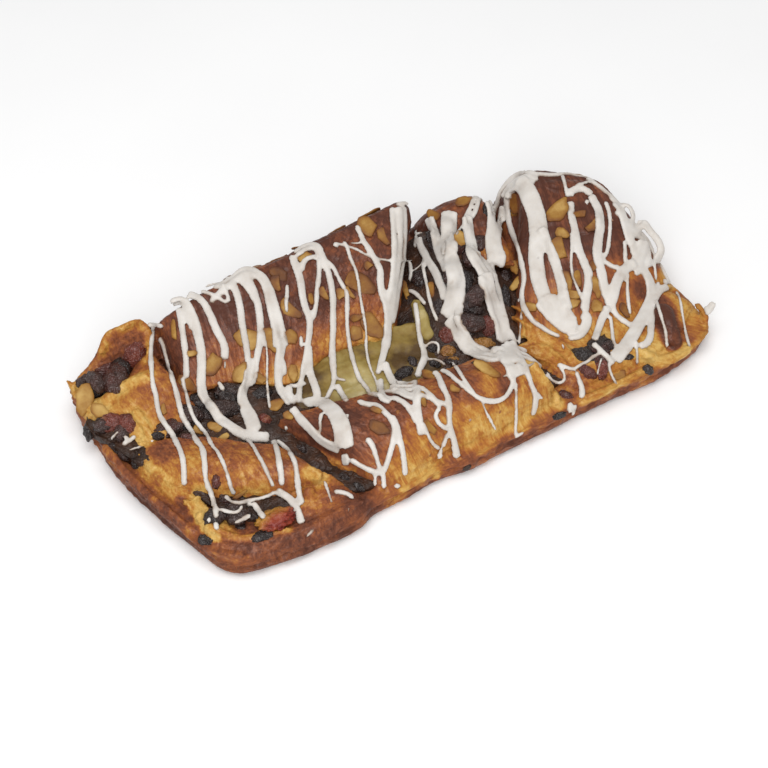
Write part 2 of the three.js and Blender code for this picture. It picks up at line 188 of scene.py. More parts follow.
# Each fold is spanned by its foot, its crown and its lip. Its browning is given at foot, crown, half
# way down and lip, first for the left end and then for the right end.
FOLDS = {
    "far_left_rim": {
        "foot": [(1, 138, 8), (24, 143, 8), (50, 143, 8)],
        "crown": [(0, 134, 20), (14, 138, 23), (23, 138.5, 33), (34, 138, 37), (48, 136, 35)],
        "lip": [(5, 131, 19), (24, 133, 21), (46, 128, 26)],
        "browning": [(0.6, 0.42, 0.55, 0.62), (0.8, 0.6, 0.7, 0.8)],
    },
    "left_roll": {
        "foot": [(0, 126, 14), (20, 125, 15), (44, 134, 22)],
        "crown": [(-1, 117, 18), (15, 109, 22.5), (42, 118, 31)],
        "lip": [(1, 108, 15), (12, 90, 17), (24, 83, 18), (46, 95, 20)],
        "browning": [(0.3, 0.2, 0.15, 0.2), (0.5, 0.62, 0.6, 0.6)],
    },
    "far_left": {
        "foot": [(44, 143, 8), (117, 144, 8), (193.5, 142, 8)],
        "crown": [(48, 136, 31), (78, 131.5, 41.5), (118, 129.5, 42), (156, 129.5, 43.5),
                  (190.5, 129.5, 44.8)],
        "lip": [(45, 102, 20), (68, 94, 19.5), (88, 81, 19), (112, 84, 22), (144, 76, 22)],
        "browning": [(0.85, 0.9, 0.9, 0.52), (0.85, 0.95, 0.9, 0.36)],
    },
    "gap_strand": {
        "foot": [(196, 141, 8), (213, 140, 8), (234, 135, 8)],
        "crown": [(197, 122, 27), (214, 118, 35), (229, 112, 35)],
        "lip": [(189, 90, 25), (204, 86, 29), (219, 79, 29)],
        "browning": [(0.9, 0.95, 0.9, 0.7), (0.8, 0.74, 0.6, 0.55)],
    },
    "far_right": {
        "foot": [(240, 131, 8), (262, 121, 8), (281, 99, 8)],
        "crown": [(239, 108, 38.5), (249, 112.5, 44), (264, 105, 42.5), (283.5, 87, 39.5)],
        "lip": [(193, 46, 20.5), (212, 35, 19.5), (240, 26, 18.5), (281, 34.5, 17)],
        "fall": (1.2, 2.2),
        "browning": [(0.85, 0.92, 0.98, 0.42), (0.85, 0.95, 0.95, 0.32)],
    },
    "left_crust": {
        "foot": [(-2, 106, 4), (-2, 84, 4), (0.5, 58, 4), (5.5, 34, 4), (10.5, 16, 4), (23, 6, 4),
                 (44, 1.5, 4), (62, 0.5, 4), (82, 3.5, 4)],
        "crown": [(-0.5, 105, 12), (0, 85, 13), (2.5, 61, 13), (7.5, 37, 13), (14, 21, 13), (27, 11, 13),
                  (46, 6.5, 14), (62, 5, 15), (80, 7, 14)],
        "lip": [(2.5, 103, 11.5), (3.5, 86, 11.5), (5.5, 64, 11.5), (11, 41, 11.5), (19, 28.5, 11.5),
                (34, 19, 12), (50, 13, 12), (64, 12, 12), (78, 12, 12)],
        "browning": [(0.88, 0.8, 0.74, 0.72), (0.86, 0.8, 0.76, 0.78)],
    },
    "left_ledge": {
        "foot": [(2.5, 80, 10), (3.5, 68, 10), (5.5, 56, 10), (8.5, 43, 10), (10, 33, 10), (14, 23, 10),
                 (22, 16, 10)],
        "crown": [(6, 80, 16), (7, 68, 16), (9, 57, 16), (12, 45, 16), (13.5, 36, 15.5), (16.5, 26.5, 14.5),
                  (23, 20, 13.5)],
        "lip": [(11, 80, 16), (12, 68, 16), (14, 58, 16), (17, 47, 15.5), (18.5, 39, 15), (21, 30.5, 13.5),
                (26, 24, 12.5)],
        "browning": [(0.42, 0.26, 0.3, 0.4), (0.45, 0.28, 0.34, 0.42)],
    },
    "near_left_step": {
        "foot": [(46, 10, 10), (62, 8, 10), (80, 8, 10)],
        "crown": [(49, 17, 16), (63, 14.5, 17.5), (77, 13, 17)],
        "lip": [(52, 27, 16), (64, 24, 17), (76, 21, 17)],
        "browning": [(0.7, 0.6, 0.55, 0.5), (0.75, 0.65, 0.5, 0.4)],
    },
    "near_left": {
        "foot": [(7, 66, 13), (17, 50, 13), (35, 35, 13), (56, 24, 13), (78, 16, 12)],
        "crown": [(9, 75, 20), (20, 62.5, 24), (37, 48, 26.5), (53, 35, 27.5), (68.5, 25, 25.5)],
        "lip": [(9, 88, 17), (23, 80, 19), (38, 70, 21), (51, 56, 22), (63.5, 46, 22.5)],
        "browning": [(0.34, 0.38, 0.55, 0.45), (0.5, 0.58, 0.66, 0.72)],
    },
    "near_middle": {
        "foot": [(89, 4.5, 3), (105, 4.5, 4), (128, 6.5, 8), (153, 4.5, 8), (172, 4.5, 8), (186, 4.5, 8)],
        "crown": [(79, 36, 27), (101, 31, 31), (135, 27, 32), (170, 24, 31), (189, 20, 26)],
        "lip": [(69, 62, 22), (95, 53, 25), (122, 45, 25.5), (156, 40, 25.5), (190, 40, 22)],
        "browning": [(0.3, 0.85, 0.95, 0.7), (0.22, 0.38, 0.62, 0.4)],
    },
    "near_right": {
        "foot": [(199, 4, 7), (236, 2, 7), (262, 5, 7), (283, 18, 7)],
        "crown": [(194, 14, 18), (226, 12, 18), (252, 12, 17), (279.5, 23, 17)],
        "lip": [(189, 42, 19), (226, 30, 18), (254, 34, 18), (270, 46, 20)],
        "browning": [(0.5, 0.35, 0.35, 0.3), (0.35, 0.3, 0.3, 0.3)],
    },
}
FOLD_ROOT = 4
LIP_EDGE = 5
LIP_NOSE = 1.2
LIP_TUCK = 3.5
END_ROUND = 9
END_HEIGHT = 0.62
PLAIN_FALL = (1.3, 1.3)
RING_SPACING = 2.0
ARCH_STEPS = 12
FALL_STEPS = 22
VOXEL = 0.75 * MM
DOUGH_TRIANGLES = 185000
SMOOTHING = (0.6, -0.62)
TRACE_STEP = 1.2
DRAPE_ROUNDS = 8
STRAND_STEP = 1.0 * MM
STRAND_SIDES = 12
STRAND_LEAN = 0.35
STRAND_SWELL = 0.2
PATH_ROUNDS = 4
FACING_ROUNDS = 10
END_WIDTH = 0.15
END_RISE = 0.3
RIDGE_SUNK = 1.5 * MM
RIDGE_RISE = 0.45
# Ridges, beads and lumps of dough that stand out from the folds: width in pixels at the start and at
# the end, browning, and the pixels that the ridge passes through.
DOUGH_RIDGES = [
    (8, 8, 0.32, (101, 354), (103, 345), (106, 337), (113, 331), (122, 328), (131, 323), (138, 321),
     (144, 324), (149, 331), (150, 345), (149, 358)),
    (9, 8, 0.28, (68, 380), (72, 388), (78, 398), (84, 408)),
    (14, 12, 0.12, (99, 403), (112, 392), (126, 383), (140, 377), (150, 375)),
    (13, 11, 0.1, (94, 408), (104, 408)),
    (12, 10, 0.15, (134, 411), (144, 423), (149, 436)),
    (9, 7, 0.2, (133, 447), (145, 440), (158, 434), (172, 432)),
    (9, 9, 0.22, (137, 452), (149, 466), (163, 479), (181, 490)),
    (19, 18, 0.0, (195, 497), (198, 503)),
    (17, 15, 0.02, (197, 512), (204, 521)),
    (13, 13, 0.05, (205, 525), (211, 531), (217, 535)),
    (7, 7, 0.25, (183, 499), (190, 506)),
    (6, 6, 0.4, (214, 528), (226, 534), (240, 538), (252, 537), (262, 533), (276, 532), (290, 528)),
    (8, 8, 0.45, (262, 500), (272, 503), (284, 502), (292, 497)),
    (17, 15, 0.55, (305, 489), (314, 497)),
    (15, 13, 0.15, (314, 473), (322, 479)),
    (10, 9, 0.62, (103, 445), (116, 461), (134, 481), (154, 499), (176, 518), (194, 535)),
    (9, 9, 0.72, (107, 457), (124, 474), (149, 497), (174, 520), (198, 543), (222, 553), (246, 556)),
    (9, 8, 0.5, (268, 426), (285, 438), (310, 452), (335, 463), (352, 471)),
    (7, 6, 0.3, (524, 337), (540, 335), (556, 340), (568, 350), (576, 361)),
    (6, 6, 0.35, (528, 347), (545, 347), (558, 355), (567, 366)),
    (6, 5, 0.4, (533, 357), (548, 361), (558, 368)),
    (8, 8, 0.2, (533, 362), (545, 380), (556, 395), (560, 406)),
    (9, 8, 0.22, (582, 400), (600, 393), (618, 384), (638, 375), (648, 369)),
    (12, 10, 0.08, (641, 353), (660, 359), (678, 356), (690, 347)),
    (8, 7, 0.35, (696, 303), (705, 317), (705, 330), (695, 345)),
    (21, 18, 0.95, (661, 304), (668, 325), (675, 346)),
    (6, 5, 0.35, (507, 316), (520, 321), (533, 330)),
    (5, 5, 0.4, (512, 306), (524, 312), (538, 322)),
    (18, 18, 0.92, (546, 185), (570, 183), (593, 187)),
]


def framed(marks):
    """Millimetre marks on the strip as metres in the shared frame."""
    return (np.asarray(marks, float) - STRIP_MIDDLE) * MM


def smooth_line(marks, shares):
    """Points at the given shares of a smooth line through the marks."""
    points = np.asarray(marks, float)
    knots = np.vstack([2 * points[0] - points[1], points, 2 * points[-1] - points[-2]])
    place = np.clip(shares, 0, 1) * (len(points) - 1)
    first = np.minimum(place.astype(int), len(points) - 2)
    t = (place - first)[:, None]
    p0, p1, p2, p3 = (knots[first + k] for k in range(4))
    bend = 2 * p0 - 5 * p1 + 4 * p2 - p3 + t * (3 * (p1 - p2) + p3 - p0)
    return p1 + 0.5 * t * (p2 - p0 + t * bend)


def between(a, b, share):
    """What lies a share of the way from a to b."""
    return a + (b - a) * share


def fold_sections(fold):
    """Rings of points round a fold, with the stage of each: 0 foot, 1 crown, 2 lip, 3 underneath."""
    coarse = smooth_line(fold["crown"], np.linspace(0, 1, 60))
    run = np.linalg.norm(np.diff(coarse, axis=0), axis=1).sum()
    shares = np.linspace(0, 1, max(24, round(run / RING_SPACING)))
    foot, crown, lip = (smooth_line(fold[line], shares) for line in ("foot", "crown", "lip"))
    rounding = np.minimum(1, np.minimum(shares, 1 - shares) * run / END_ROUND)
    height_share = between(END_HEIGHT, 1, np.sqrt(1 - (1 - rounding) ** 2))
    power = between(*fold.get("fall", PLAIN_FALL), shares)
    rings = []
    stages = []

    def add(ring, up, stage, lowered=True):
        level = FOLD_ROOT + (up - FOLD_ROOT) * (height_share if lowered else 1)
        rings.append(np.column_stack([ring[:, 0], ring[:, 1], level]))
        stages.append(stage)

    for angle in np.linspace(0, math.pi / 2, ARCH_STEPS, endpoint=False):
        add(between(foot, crown, 1 - math.cos(angle)), between(foot[:, 2], crown[:, 2], math.sin(angle)),
            2 * angle / math.pi)
    for t in np.linspace(0, 1, FALL_STEPS):
        add(between(crown, lip, t), between(crown[:, 2], lip[:, 2], t ** power), 1 + t)
    inward = (crown - lip) * (1, 1, 0)
    inward /= np.linalg.norm(inward, axis=1)[:, None]
    for turn in np.linspace(0.2, 1, 6):
        reach = LIP_TUCK * turn ** 3 - LIP_NOSE * math.sin(math.pi * turn)
        add(lip + inward * reach, lip[:, 2] - LIP_EDGE * turn, 2 + 0.5 * turn)
    root = np.full(len(shares), float(FOLD_ROOT))
    add(lip + inward * LIP_TUCK, root, 3, lowered=False)
    add(between(foot, crown, 0.1), root, 3, lowered=False)
    return np.stack(rings, axis=1), shares, np.array(stages), run


def closed_skin(rings):
    """Points and faces of a skin through rings of points, closed at its first and last ring."""
    count, around, _ = rings.shape
    points = np.vstack([rings.reshape(-1, 3), rings[0].mean(0), rings[-1].mean(0)])
    first, last = count * around, count * around + 1
    faces = []
    for j in range(around):
        k = (j + 1) % around
        faces.append((first, j, k))
        faces.append((last, (count - 1) * around + k, (count - 1) * around + j))
        faces.extend((i * around + j, (i + 1) * around + j, (i + 1) * around + k, i * around + k)
                     for i in range(count - 1))
    return points, faces


def sheet_rings():
    """The base sheet as outlines stacked from the underside to the top, round at the rim."""
    closed = SHEET_OUTLINE[-2:] + SHEET_OUTLINE + SHEET_OUTLINE[:3]
    last = len(closed) - 1
    shares = np.linspace(2 / last, (last - 2) / last, SHEET_POINTS, endpoint=False)
    rim = smooth_line([(*mark, 0) for mark in closed], shares)
    ahead = np.roll(rim, -1, axis=0) - np.roll(rim, 1, axis=0)
    inward = np.column_stack([-ahead[:, 1], ahead[:, 0], np.zeros(len(rim))])
    inward /= np.linalg.norm(inward, axis=1)[:, None]
    rings = []
    for angle in np.linspace(-math.pi / 2, math.pi / 2, RIM_STEPS):
        inset = CRUST_RADIUS * (1 - math.cos(angle))
        half = SHEET_THICKNESS / 2 - CRUST_RADIUS
        up = SHEET_THICKNESS / 2 + half * np.sign(angle) + CRUST_RADIUS * math.sin(angle)
        rings.append(rim + inward * inset + (0, 0, up))
    return np.stack(rings)


def joined_skins(skins):
    """Several closed skins as one list of points and one list of faces."""
    points = []
    faces = []
    for skin_points, skin_faces in skins:
        start = sum(len(p) for p in points)
        points.append(skin_points)
        faces.extend(tuple(start + corner for corner in face) for face in skin_faces)
    return np.vstack(points), faces


def skin_of(piece):
    """Points and faces of a piece that is already made."""
    return points_of(piece.data), [tuple(face.vertices) for face in piece.data.polygons]


def landing_tree(*skins):
    """What a sight line meets first, among these skins."""
    points, faces = joined_skins(skins)
    return BVHTree.FromPolygons(points.tolist(), faces)


def pixel_span(point):
    """The real width that one pixel covers at a point."""
    return (point - eye).dot(-towards_viewer) / FOCAL_PIXELS


def windows(values, reach):
    """Every value with its neighbours up to a reach on both sides."""
    edge = np.pad(values, reach, mode="edge")
    return np.array([edge[k:k + len(values)] for k in range(2 * reach + 1)])


def draped(depths, reach, sag):
    """Depths along a strand that spans hollows up to its reach and sags back on to the slopes."""
    depths = windows(depths, reach).min(axis=0)
    depths = windows(depths, sag).max(axis=0)
    for _ in range(DRAPE_ROUNDS):
        depths = (0.25, 0.5, 0.25) @ windows(depths, 1)
    return depths


def landed(tree, pixels, reach=3, sag=0):
    """Where each pixel of a strand lands; a pixel past the edge keeps its neighbour's distance."""
    lines = [sight_line(x, y) for x, y in pixels]
    hits = [tree.ray_cast(eye, line) for line in lines]
    known = [i for i, hit in enumerate(hits) if hit[0] is not None]
    if not known:
        return []
    nearest = [min(known, key=lambda k: abs(k - i)) for i in range(len(lines))]
    depths = draped(np.array([hits[k][3] for k in nearest]), reach, sag)
    return [(eye + line * depth, hits[k][1]) for line, depth, k in zip(lines, depths, nearest)]


def traced(pixels):
    """A smooth line of pixels through a few marked ones."""
    marks = np.array([(x, y, 0) for x, y in pixels], float)
    length = np.linalg.norm(np.diff(marks, axis=0), axis=1).sum()
    return smooth_line(marks, np.linspace(0, 1, max(5, int(length / TRACE_STEP))))[:, :2]


def evenly_spaced(spots, step):
    """The path and facing of a strand at even steps, smoothed as it settles."""
    path = np.array([list(point) for point, _ in spots])
    facing = np.array([list(normal + towards_viewer * STRAND_LEAN) for _, normal in spots])
    lengths = np.concatenate([[0], np.cumsum(np.linalg.norm(np.diff(path, axis=0), axis=1))])
    even = np.linspace(0, lengths[-1], max(4, int(lengths[-1] / step) + 1))
    path = np.column_stack([np.interp(even, lengths, path[:, c]) for c in range(3)])
    facing = np.column_stack([np.interp(even, lengths, facing[:, c]) for c in range(3)])
    for _ in range(PATH_ROUNDS):
        path[1:-1] = 0.5 * path[1:-1] + 0.25 * (path[:-2] + path[2:])
    for _ in range(FACING_ROUNDS):
        facing[1:-1] = 0.5 * facing[1:-1] + 0.25 * (facing[:-2] + facing[2:])
    return path, facing / np.linalg.norm(facing, axis=1)[:, None]


def laid_line(tree, start_width, end_width, pixels):
    """Path, facing and widths of a strand whose widths are given in pixels."""
    spots = landed(tree, traced(pixels).tolist())
    path, facing = evenly_spaced(spots, STRAND_STEP)
    return path, facing, np.linspace(start_width, end_width, len(path)) * pixel_span(spots[0][0])


def strand_skin(path, facing, widths, heights, sunk, seed, end_length=0.5):
    """A strand's skin: domed on top, a little sunk below, rounded over an end length in widths."""
    ahead = np.gradient(path, axis=0)
    ahead /= np.maximum(np.linalg.norm(ahead, axis=1), 1e-9)[:, None]
    aside = np.cross(ahead, facing)
    aside /= np.maximum(np.linalg.norm(aside, axis=1), 1e-9)[:, None]
    wander = np.array([noise.noise((step * 0.16, seed * 5.1, 0.5)) for step in range(len(path))])
    distance = np.concatenate([[0], np.cumsum(np.linalg.norm(np.diff(path, axis=0), axis=1))])
    to_end = np.minimum(distance, distance[-1] - distance)
    round_end = np.sqrt(1 - (1 - np.clip(to_end / (end_length * widths), 0, 1)) ** 2)
    half = widths / 2 * (1 + STRAND_SWELL * wander) * np.maximum(round_end, END_WIDTH)
    height = heights * np.maximum(round_end, END_RISE)
    rings = []
    for angle in np.linspace(0, 2 * math.pi, STRAND_SIDES, endpoint=False):
        rise = height * math.sin(angle) if math.sin(angle) > 0 else np.full(len(path), sunk * math.sin(angle))
        rings.append(path + aside * (half * math.cos(angle))[:, None] + facing * rise[:, None])
    return closed_skin(np.stack(rings, axis=1))


def with_modifier(piece, kind, **settings):
    """Applies one modifier for good."""
    modifier = piece.modifiers.new(kind.lower(), kind)
    for name, value in settings.items():
        setattr(modifier, name, value)
    shaped = piece.evaluated_get(bpy.context.evaluated_depsgraph_get())
    mesh = bpy.data.meshes.new_from_object(shaped)
    piece.modifiers.clear()
    old = piece.data
    piece.data = mesh
    bpy.data.meshes.remove(old)
    mesh.shade_smooth()


def thinned(piece, most):
    """Brings a mesh down to the given number of triangles."""
    count = sum(len(face.vertices) - 2 for face in piece.data.polygons)
    if count > most:
        with_modifier(piece, "DECIMATE", ratio=most / count)


def points_of(mesh):
    points = np.empty(len(mesh.vertices) * 3)
    mesh.vertices.foreach_get("co", points)
    return points.reshape(-1, 3)


def normals_of(mesh):
    normals = np.empty(len(mesh.vertices) * 3)
    mesh.vertex_normals.foreach_get("vector", normals)
    return normals.reshape(-1, 3)


def set_points(mesh, points):
    mesh.vertices.foreach_set("co", points.astype(np.float32).ravel())
    mesh.update()


def relaxed(mesh, values, rounds, share=0.5):
    """Values at the points of a mesh, each drawn towards the mean of its neighbours."""
    edges = np.empty(len(mesh.edges) * 2, int)
    mesh.edges.foreach_get("vertices", edges)
    a, b = edges.reshape(-1, 2).T
    neighbours = np.bincount(np.concatenate([a, b]), minlength=len(values))
    columns = values.reshape(len(values), -1).astype(float)
    for _ in range(rounds):
        for c in range(columns.shape[1]):
            column = columns[:, c]
            total = np.bincount(a, column[b], len(values)) + np.bincount(b, column[a], len(values))
            columns[:, c] = between(column, total / np.maximum(neighbours, 1), share)
    return columns.reshape(values.shape)


def settled(mesh, rounds):
    """The points of a mesh with its steps smoothed away, and its size kept."""
    points = points_of(mesh)
    for _ in range(rounds):
        for share in SMOOTHING:
            points = relaxed(mesh, points, 1, share)
    return relaxed(mesh, points, 1)


def waviness(points, size, seed=0.0):
    """Smooth noise between about -1 and 1 whose bumps are about the given size across."""
    return np.array([noise.noise((x / size + seed, y / size - seed, z / size + 2 * seed))
                     for x, y, z in points.tolist()])


def keep_value(mesh, name, values):
    """Stores one number at each point, for the finish to read."""
    attribute = mesh.attributes.new(name, "FLOAT", "POINT")
    attribute.data.foreach_set("value", np.asarray(values, np.float32))


fold_data = [(name, *fold_sections(fold)) for name, fold in FOLDS.items()]
dough_skins = [closed_skin(framed(sheet_rings()))]
dough_skins += [closed_skin(framed(rings)) for _, rings, _, _, _ in fold_data]
plain_folds = landing_tree(*dough_skins)
ridge_paths = []
for start_width, end_width, level, *pixels in DOUGH_RIDGES:
    path, facing, widths = laid_line(plain_folds, start_width, end_width, pixels)
    dough_skins.append(strand_skin(path, facing, widths, RIDGE_RISE * widths, RIDGE_SUNK, len(dough_skins)))
    ridge_paths.append(np.column_stack([path, widths, np.full(len(path), level)]))
ridge_table = np.vstack(ridge_paths)
dough = mesh_piece("dough", *joined_skins(dough_skins))
with_modifier(dough, "REMESH", mode="VOXEL", voxel_size=VOXEL)
set_points(dough.data, settled(dough.data, 3))


class FoldPlaces:
    """Finds, for points on the baked surface, the fold under them and where on that fold they lie."""

    def __init__(self):
        places = []
        runs = []
        for index, (_, rings, shares, stages, run) in enumerate(fold_data):
            top = int(np.sum(stages < 3))
            ring_step, stage_step = np.gradient(rings[:, :top], axis=(0, 1))
            grid = np.stack(np.meshgrid(shares, stages[:top], indexing="ij"), axis=-1)
            along_step = np.gradient(shares)[:, None, None]
            across_step = np.gradient(stages[:top])[None, :, None]
            cells = np.concatenate([
                framed(rings[:, :top]), ring_step * MM / along_step, stage_step * MM / across_step, grid,
                np.full((*grid.shape[:2], 1), index),
            ], axis=-1)
            places.append(cells.reshape(-1, cells.shape[-1]))
            runs.append(run)
        self.table = np.vstack(places)
        self.runs = np.array(runs)
        self.tree = KDTree(len(self.table))
        for i, point in enumerate(self.table[:, :3].tolist()):
            self.tree.insert(point, i)
        self.tree.balance()

    def find(self, points):
        found = [self.tree.find(p)[1:] for p in points.tolist()]
        rows = self.table[[i for i, _ in found]]
        offset = points - rows[:, :3]
        along, across = rows[:, 3:6], rows[:, 6:9]
        share = rows[:, 9] + (offset * along).sum(1) / np.maximum((along ** 2).sum(1), 1e-12)
        stage = rows[:, 10] + (offset * across).sum(1) / np.maximum((across ** 2).sum(1), 1e-12)
        return rows[:, 11].astype(int), share, stage, np.array([gap for _, gap in found])


fold_places = FoldPlaces()

# Relief that rising and baking leave: broad swellings, creases that run along a fold, fine blisters,
# thin layers that part at the lips and on the side of the sheet, and a seam where the flaps overhang it.
# A pair is a size across and a height.
SWELLING = (17 * MM, 0.8 * MM)
CREASE = (0.6 * MM, 24.0, 4.5)
BLISTER = (2.4 * MM, 0.25 * MM)
LAYER = (1.4 * MM, 0.85 * MM)
LAYER_STRETCH = (0.06, 0.06, 1)
CRAG = (3.6 * MM, 1.2 * MM)
SEAM = (6.0 * MM, 0.8 * MM, 0.9 * MM)
ON_FOLD = 2.5 * MM
ON_RIM = 1.0 * MM
FOLD_DEPTH = 40
LIP_STAGE = 2.15
LIP_SPAN = 0.3
FLAT_BELOW = 3 * MM

points = points_of(dough.data)
normals = normals_of(dough.data)
fold_index, share, stage, gap = fold_places.find(points)
on_fold = np.clip(2 - gap / ON_FOLD, 0, 1)
run_mm = share * fold_places.runs[fold_index]
crease_height, crease_length, crease_width = CREASE
crease_places = np.column_stack([run_mm / crease_length, stage * FOLD_DEPTH / crease_width, fold_index * 7.3])
creases = -(1 - np.abs(waviness(crease_places, 1.0, 3.1))) ** 8 * crease_height * on_fold
lip_edge = np.clip(1 - np.abs(stage - LIP_STAGE) / LIP_SPAN, 0, 1) * on_fold
upright = np.clip(1 - np.abs(normals[:, 2]) * 1.5, 0, 1)
sheet_side = upright * (points[:, 2] < SHEET_THICKNESS * MM * 1.4)
layers = waviness(points * LAYER_STRETCH, LAYER[0], 5.0) * LAYER[1] * np.maximum(lip_edge, sheet_side)
seam_height, seam_width, seam_depth = SEAM
seam = -seam_depth * np.exp(-((points[:, 2] - seam_height) / seam_width) ** 2) * upright
relief = (
    waviness(points, SWELLING[0]) * SWELLING[1]
    + creases
    + waviness(points, BLISTER[0], 1.7) * BLISTER[1]
    + waviness(points, CRAG[0], 4.4) * CRAG[1] * sheet_side
    + layers
    + seam
)
relief *= np.clip(points[:, 2] / FLAT_BELOW, 0, 1)
points = points + normals * relief[:, None]
points[:, 2] = np.maximum(points[:, 2], 0)
set_points(dough.data, points)
thinned(dough, DOUGH_TRIANGLES)

# The bare sheet: its browning above and below the seam, its streaks by size and swing, and its paler
# right end by where that starts, how far it takes to fade in, and its browning.
SHEET_BROWNING = (0.68, 0.76)
SHEET_STREAKS = (1.8 * MM, 0.22)
STREAK_STRETCH = (0.22, 0.22, 1)
RIGHT_END = (0.134, 6 * MM, 0.45)
BROWNING_STAGES = [0.0, 1.0, 1.5, 2.0, 2.5]
UNDER_LIP = 0.7
RIDGE_COVER = (2.4, 2.6)
MARK_FULLNESS = 1.6
MARK_DROP = 3 * MM
# Spots that the oven has left browner or paler than the rest of their fold: pixel across and down,
# radius in pixels, and browning from 0 to 1.
BAKE_MARKS = [
    (245, 468, 30, 0.41), (215, 465, 20, 0.5), (165, 455, 17, 0.66), (285, 460, 18, 0.58),
    (157, 480, 12, 0.46), (318, 475, 11, 0.22), (305, 495, 16, 0.6), (182, 450, 14, 0.6),
    (120, 385, 20, 0.14), (145, 400, 12, 0.5), (130, 425, 10, 0.2), (145, 440, 12, 0.18),
    (165, 380, 16, 0.42), (118, 340, 14, 0.55), (140, 325, 9, 0.35), (104, 350, 7, 0.3), (70, 385, 10, 0.3),
    (340, 415, 40, 0.92), (390, 400, 30, 0.9), (430, 405, 20, 0.78), (470, 388, 24, 0.74),
    (508, 385, 18, 0.74), (420, 470, 24, 0.2), (480, 440, 24, 0.24), (530, 385, 10, 0.6),
    (548, 395, 14, 0.2), (520, 425, 16, 0.22), (545, 350, 22, 0.34), (560, 378, 14, 0.62),
    (600, 390, 18, 0.3), (620, 370, 14, 0.28), (660, 355, 18, 0.08), (690, 330, 16, 0.48),
    (672, 325, 17, 0.95), (640, 330, 10, 0.6), (540, 320, 16, 0.5), (510, 322, 10, 0.35),
    (480, 240, 12, 0.66), (112, 460, 13, 0.72), (128, 476, 13, 0.74), (144, 492, 13, 0.74),
    (161, 508, 13, 0.76), (179, 525, 13, 0.74), (198, 541, 13, 0.76), (222, 554, 12, 0.74),
    (333, 519, 20, 0.8), (450, 470, 12, 0.66), (490, 458, 12, 0.7), (590, 240, 22, 1.15),
    (180, 500, 8, 0.72), (184, 510, 8, 0.78), (189, 520, 8, 0.8), (195, 529, 8, 0.8), (203, 541, 9, 0.75),
    (642, 290, 16, 0.88), (654, 262, 13, 0.85), (661, 318, 13, 0.92), (672, 340, 13, 0.92),
    (300, 374, 12, 0.24), (322, 362, 12, 0.24), (345, 351, 12, 0.26), (370, 339, 12, 0.28),
    (392, 323, 10, 0.3), (405, 489, 9, 0.3), (420, 482, 9, 0.24), (436, 474, 9, 0.24), (295, 327, 12, 0.84),
]

points = points_of(dough.data)
normals = normals_of(dough.data)
fold_index, share, stage, gap = fold_places.find(points)
browning_table = np.array([fold["browning"] for fold in FOLDS.values()])
browning = np.empty(len(points))
for index, (left, right) in enumerate(browning_table):
    here = fold_index == index
    left_level = np.interp(stage[here], BROWNING_STAGES, [*left, left[3] * UNDER_LIP])
    right_level = np.interp(stage[here], BROWNING_STAGES, [*right, right[3] * UNDER_LIP])
    browning[here] = between(left_level, right_level, np.clip(share[here], 0, 1))
sheet_browning = np.where(points[:, 2] > SEAM[0], *SHEET_BROWNING)
sheet_browning += SHEET_STREAKS[1] * waviness(points * STREAK_STRETCH, SHEET_STREAKS[0], 6.2)
end_from, end_span, end_browning = RIGHT_END
sheet_browning = between(sheet_browning, end_browning, np.clip((points[:, 0] - end_from) / end_span, 0, 1))
near_fold = np.where(points[:, 2] > (SHEET_THICKNESS + 1) * MM, ON_FOLD, ON_RIM)
browning = between(sheet_browning, browning, np.clip(2 - gap / near_fold, 0, 1))
browning = relaxed(dough.data, browning, 4)
ridge_tree = KDTree(len(ridge_table))
for i, row in enumerate(ridge_table.tolist()):
    ridge_tree.insert(row[:3], i)
ridge_tree.balance()
found = [ridge_tree.find(point)[1:] for point in points.tolist()]
ridge_gap = np.array([far for _, far in found])
ridge_width, ridge_browning = ridge_table[[i for i, _ in found], 3:5].T
on_ridge = np.clip(RIDGE_COVER[0] - RIDGE_COVER[1] * ridge_gap / ridge_width, 0, 1)
browning = between(browning, ridge_browning, on_ridge)
browning = relaxed(dough.data, browning, 2)
bare_dough = landing_tree(skin_of(dough))
for x, y, radius, level in BAKE_MARKS:
    centre = bare_dough.ray_cast(eye, sight_line(x, y))[0]
    if centre is None:
        continue
    near = 1 - np.linalg.norm(points - np.array(centre), axis=1) / (radius * pixel_span(centre))
    near = np.clip(MARK_FULLNESS * near, 0, 1) * np.clip((points[:, 2] - centre.z) / MARK_DROP + 2, 0, 1)
    browning = between(browning, level, near * near * (3 - 2 * near))
keep_value(dough.data, "browning", browning)
on_sheet = (gap > 1.5 * near_fold) & (np.abs(normals[:, 2]) < 0.8)
along_mm = np.where(on_sheet, points[:, 2] / MM, share * fold_places.runs[fold_index])
down_mm = np.where(on_sheet, (points[:, 0] - points[:, 1]) / MM, stage * FOLD_DEPTH)
keep_value(dough.data, "along_fold", along_mm)
keep_value(dough.data, "down_fold", down_mm)

mottle = bpy.data.node_groups.new("oven_mottle", "ShaderNodeTree")
for name in ("Patch Scale", "Speck Scale"):
    mottle.interface.new_socket(name, in_out="INPUT", socket_type="NodeSocketFloat")
for name in ("Patches", "Specks"):
    mottle.interface.new_socket(name, in_out="OUTPUT", socket_type="NodeSocketFloat")
mottle_in = put(mottle, "NodeGroupInput")
mottle_place = put(mottle, "ShaderNodeTexCoord")
patch_noise = put(mottle, "ShaderNodeTexNoise", {
    "Vector": mottle_place.outputs["Object"], "Scale": mottle_in.outputs["Patch Scale"], "Detail": 4.0,
    "Roughness": 0.6,
})
speck_noise = put(mottle, "ShaderNodeTexNoise", {
    "Vector": mottle_place.outputs["Object"], "Scale": mottle_in.outputs["Speck Scale"], "Detail": 5.0,
    "Roughness": 0.65,
})
put(mottle, "NodeGroupOutput", {"Patches": patch_noise.outputs["Fac"], "Specks": speck_noise.outputs["Fac"]})


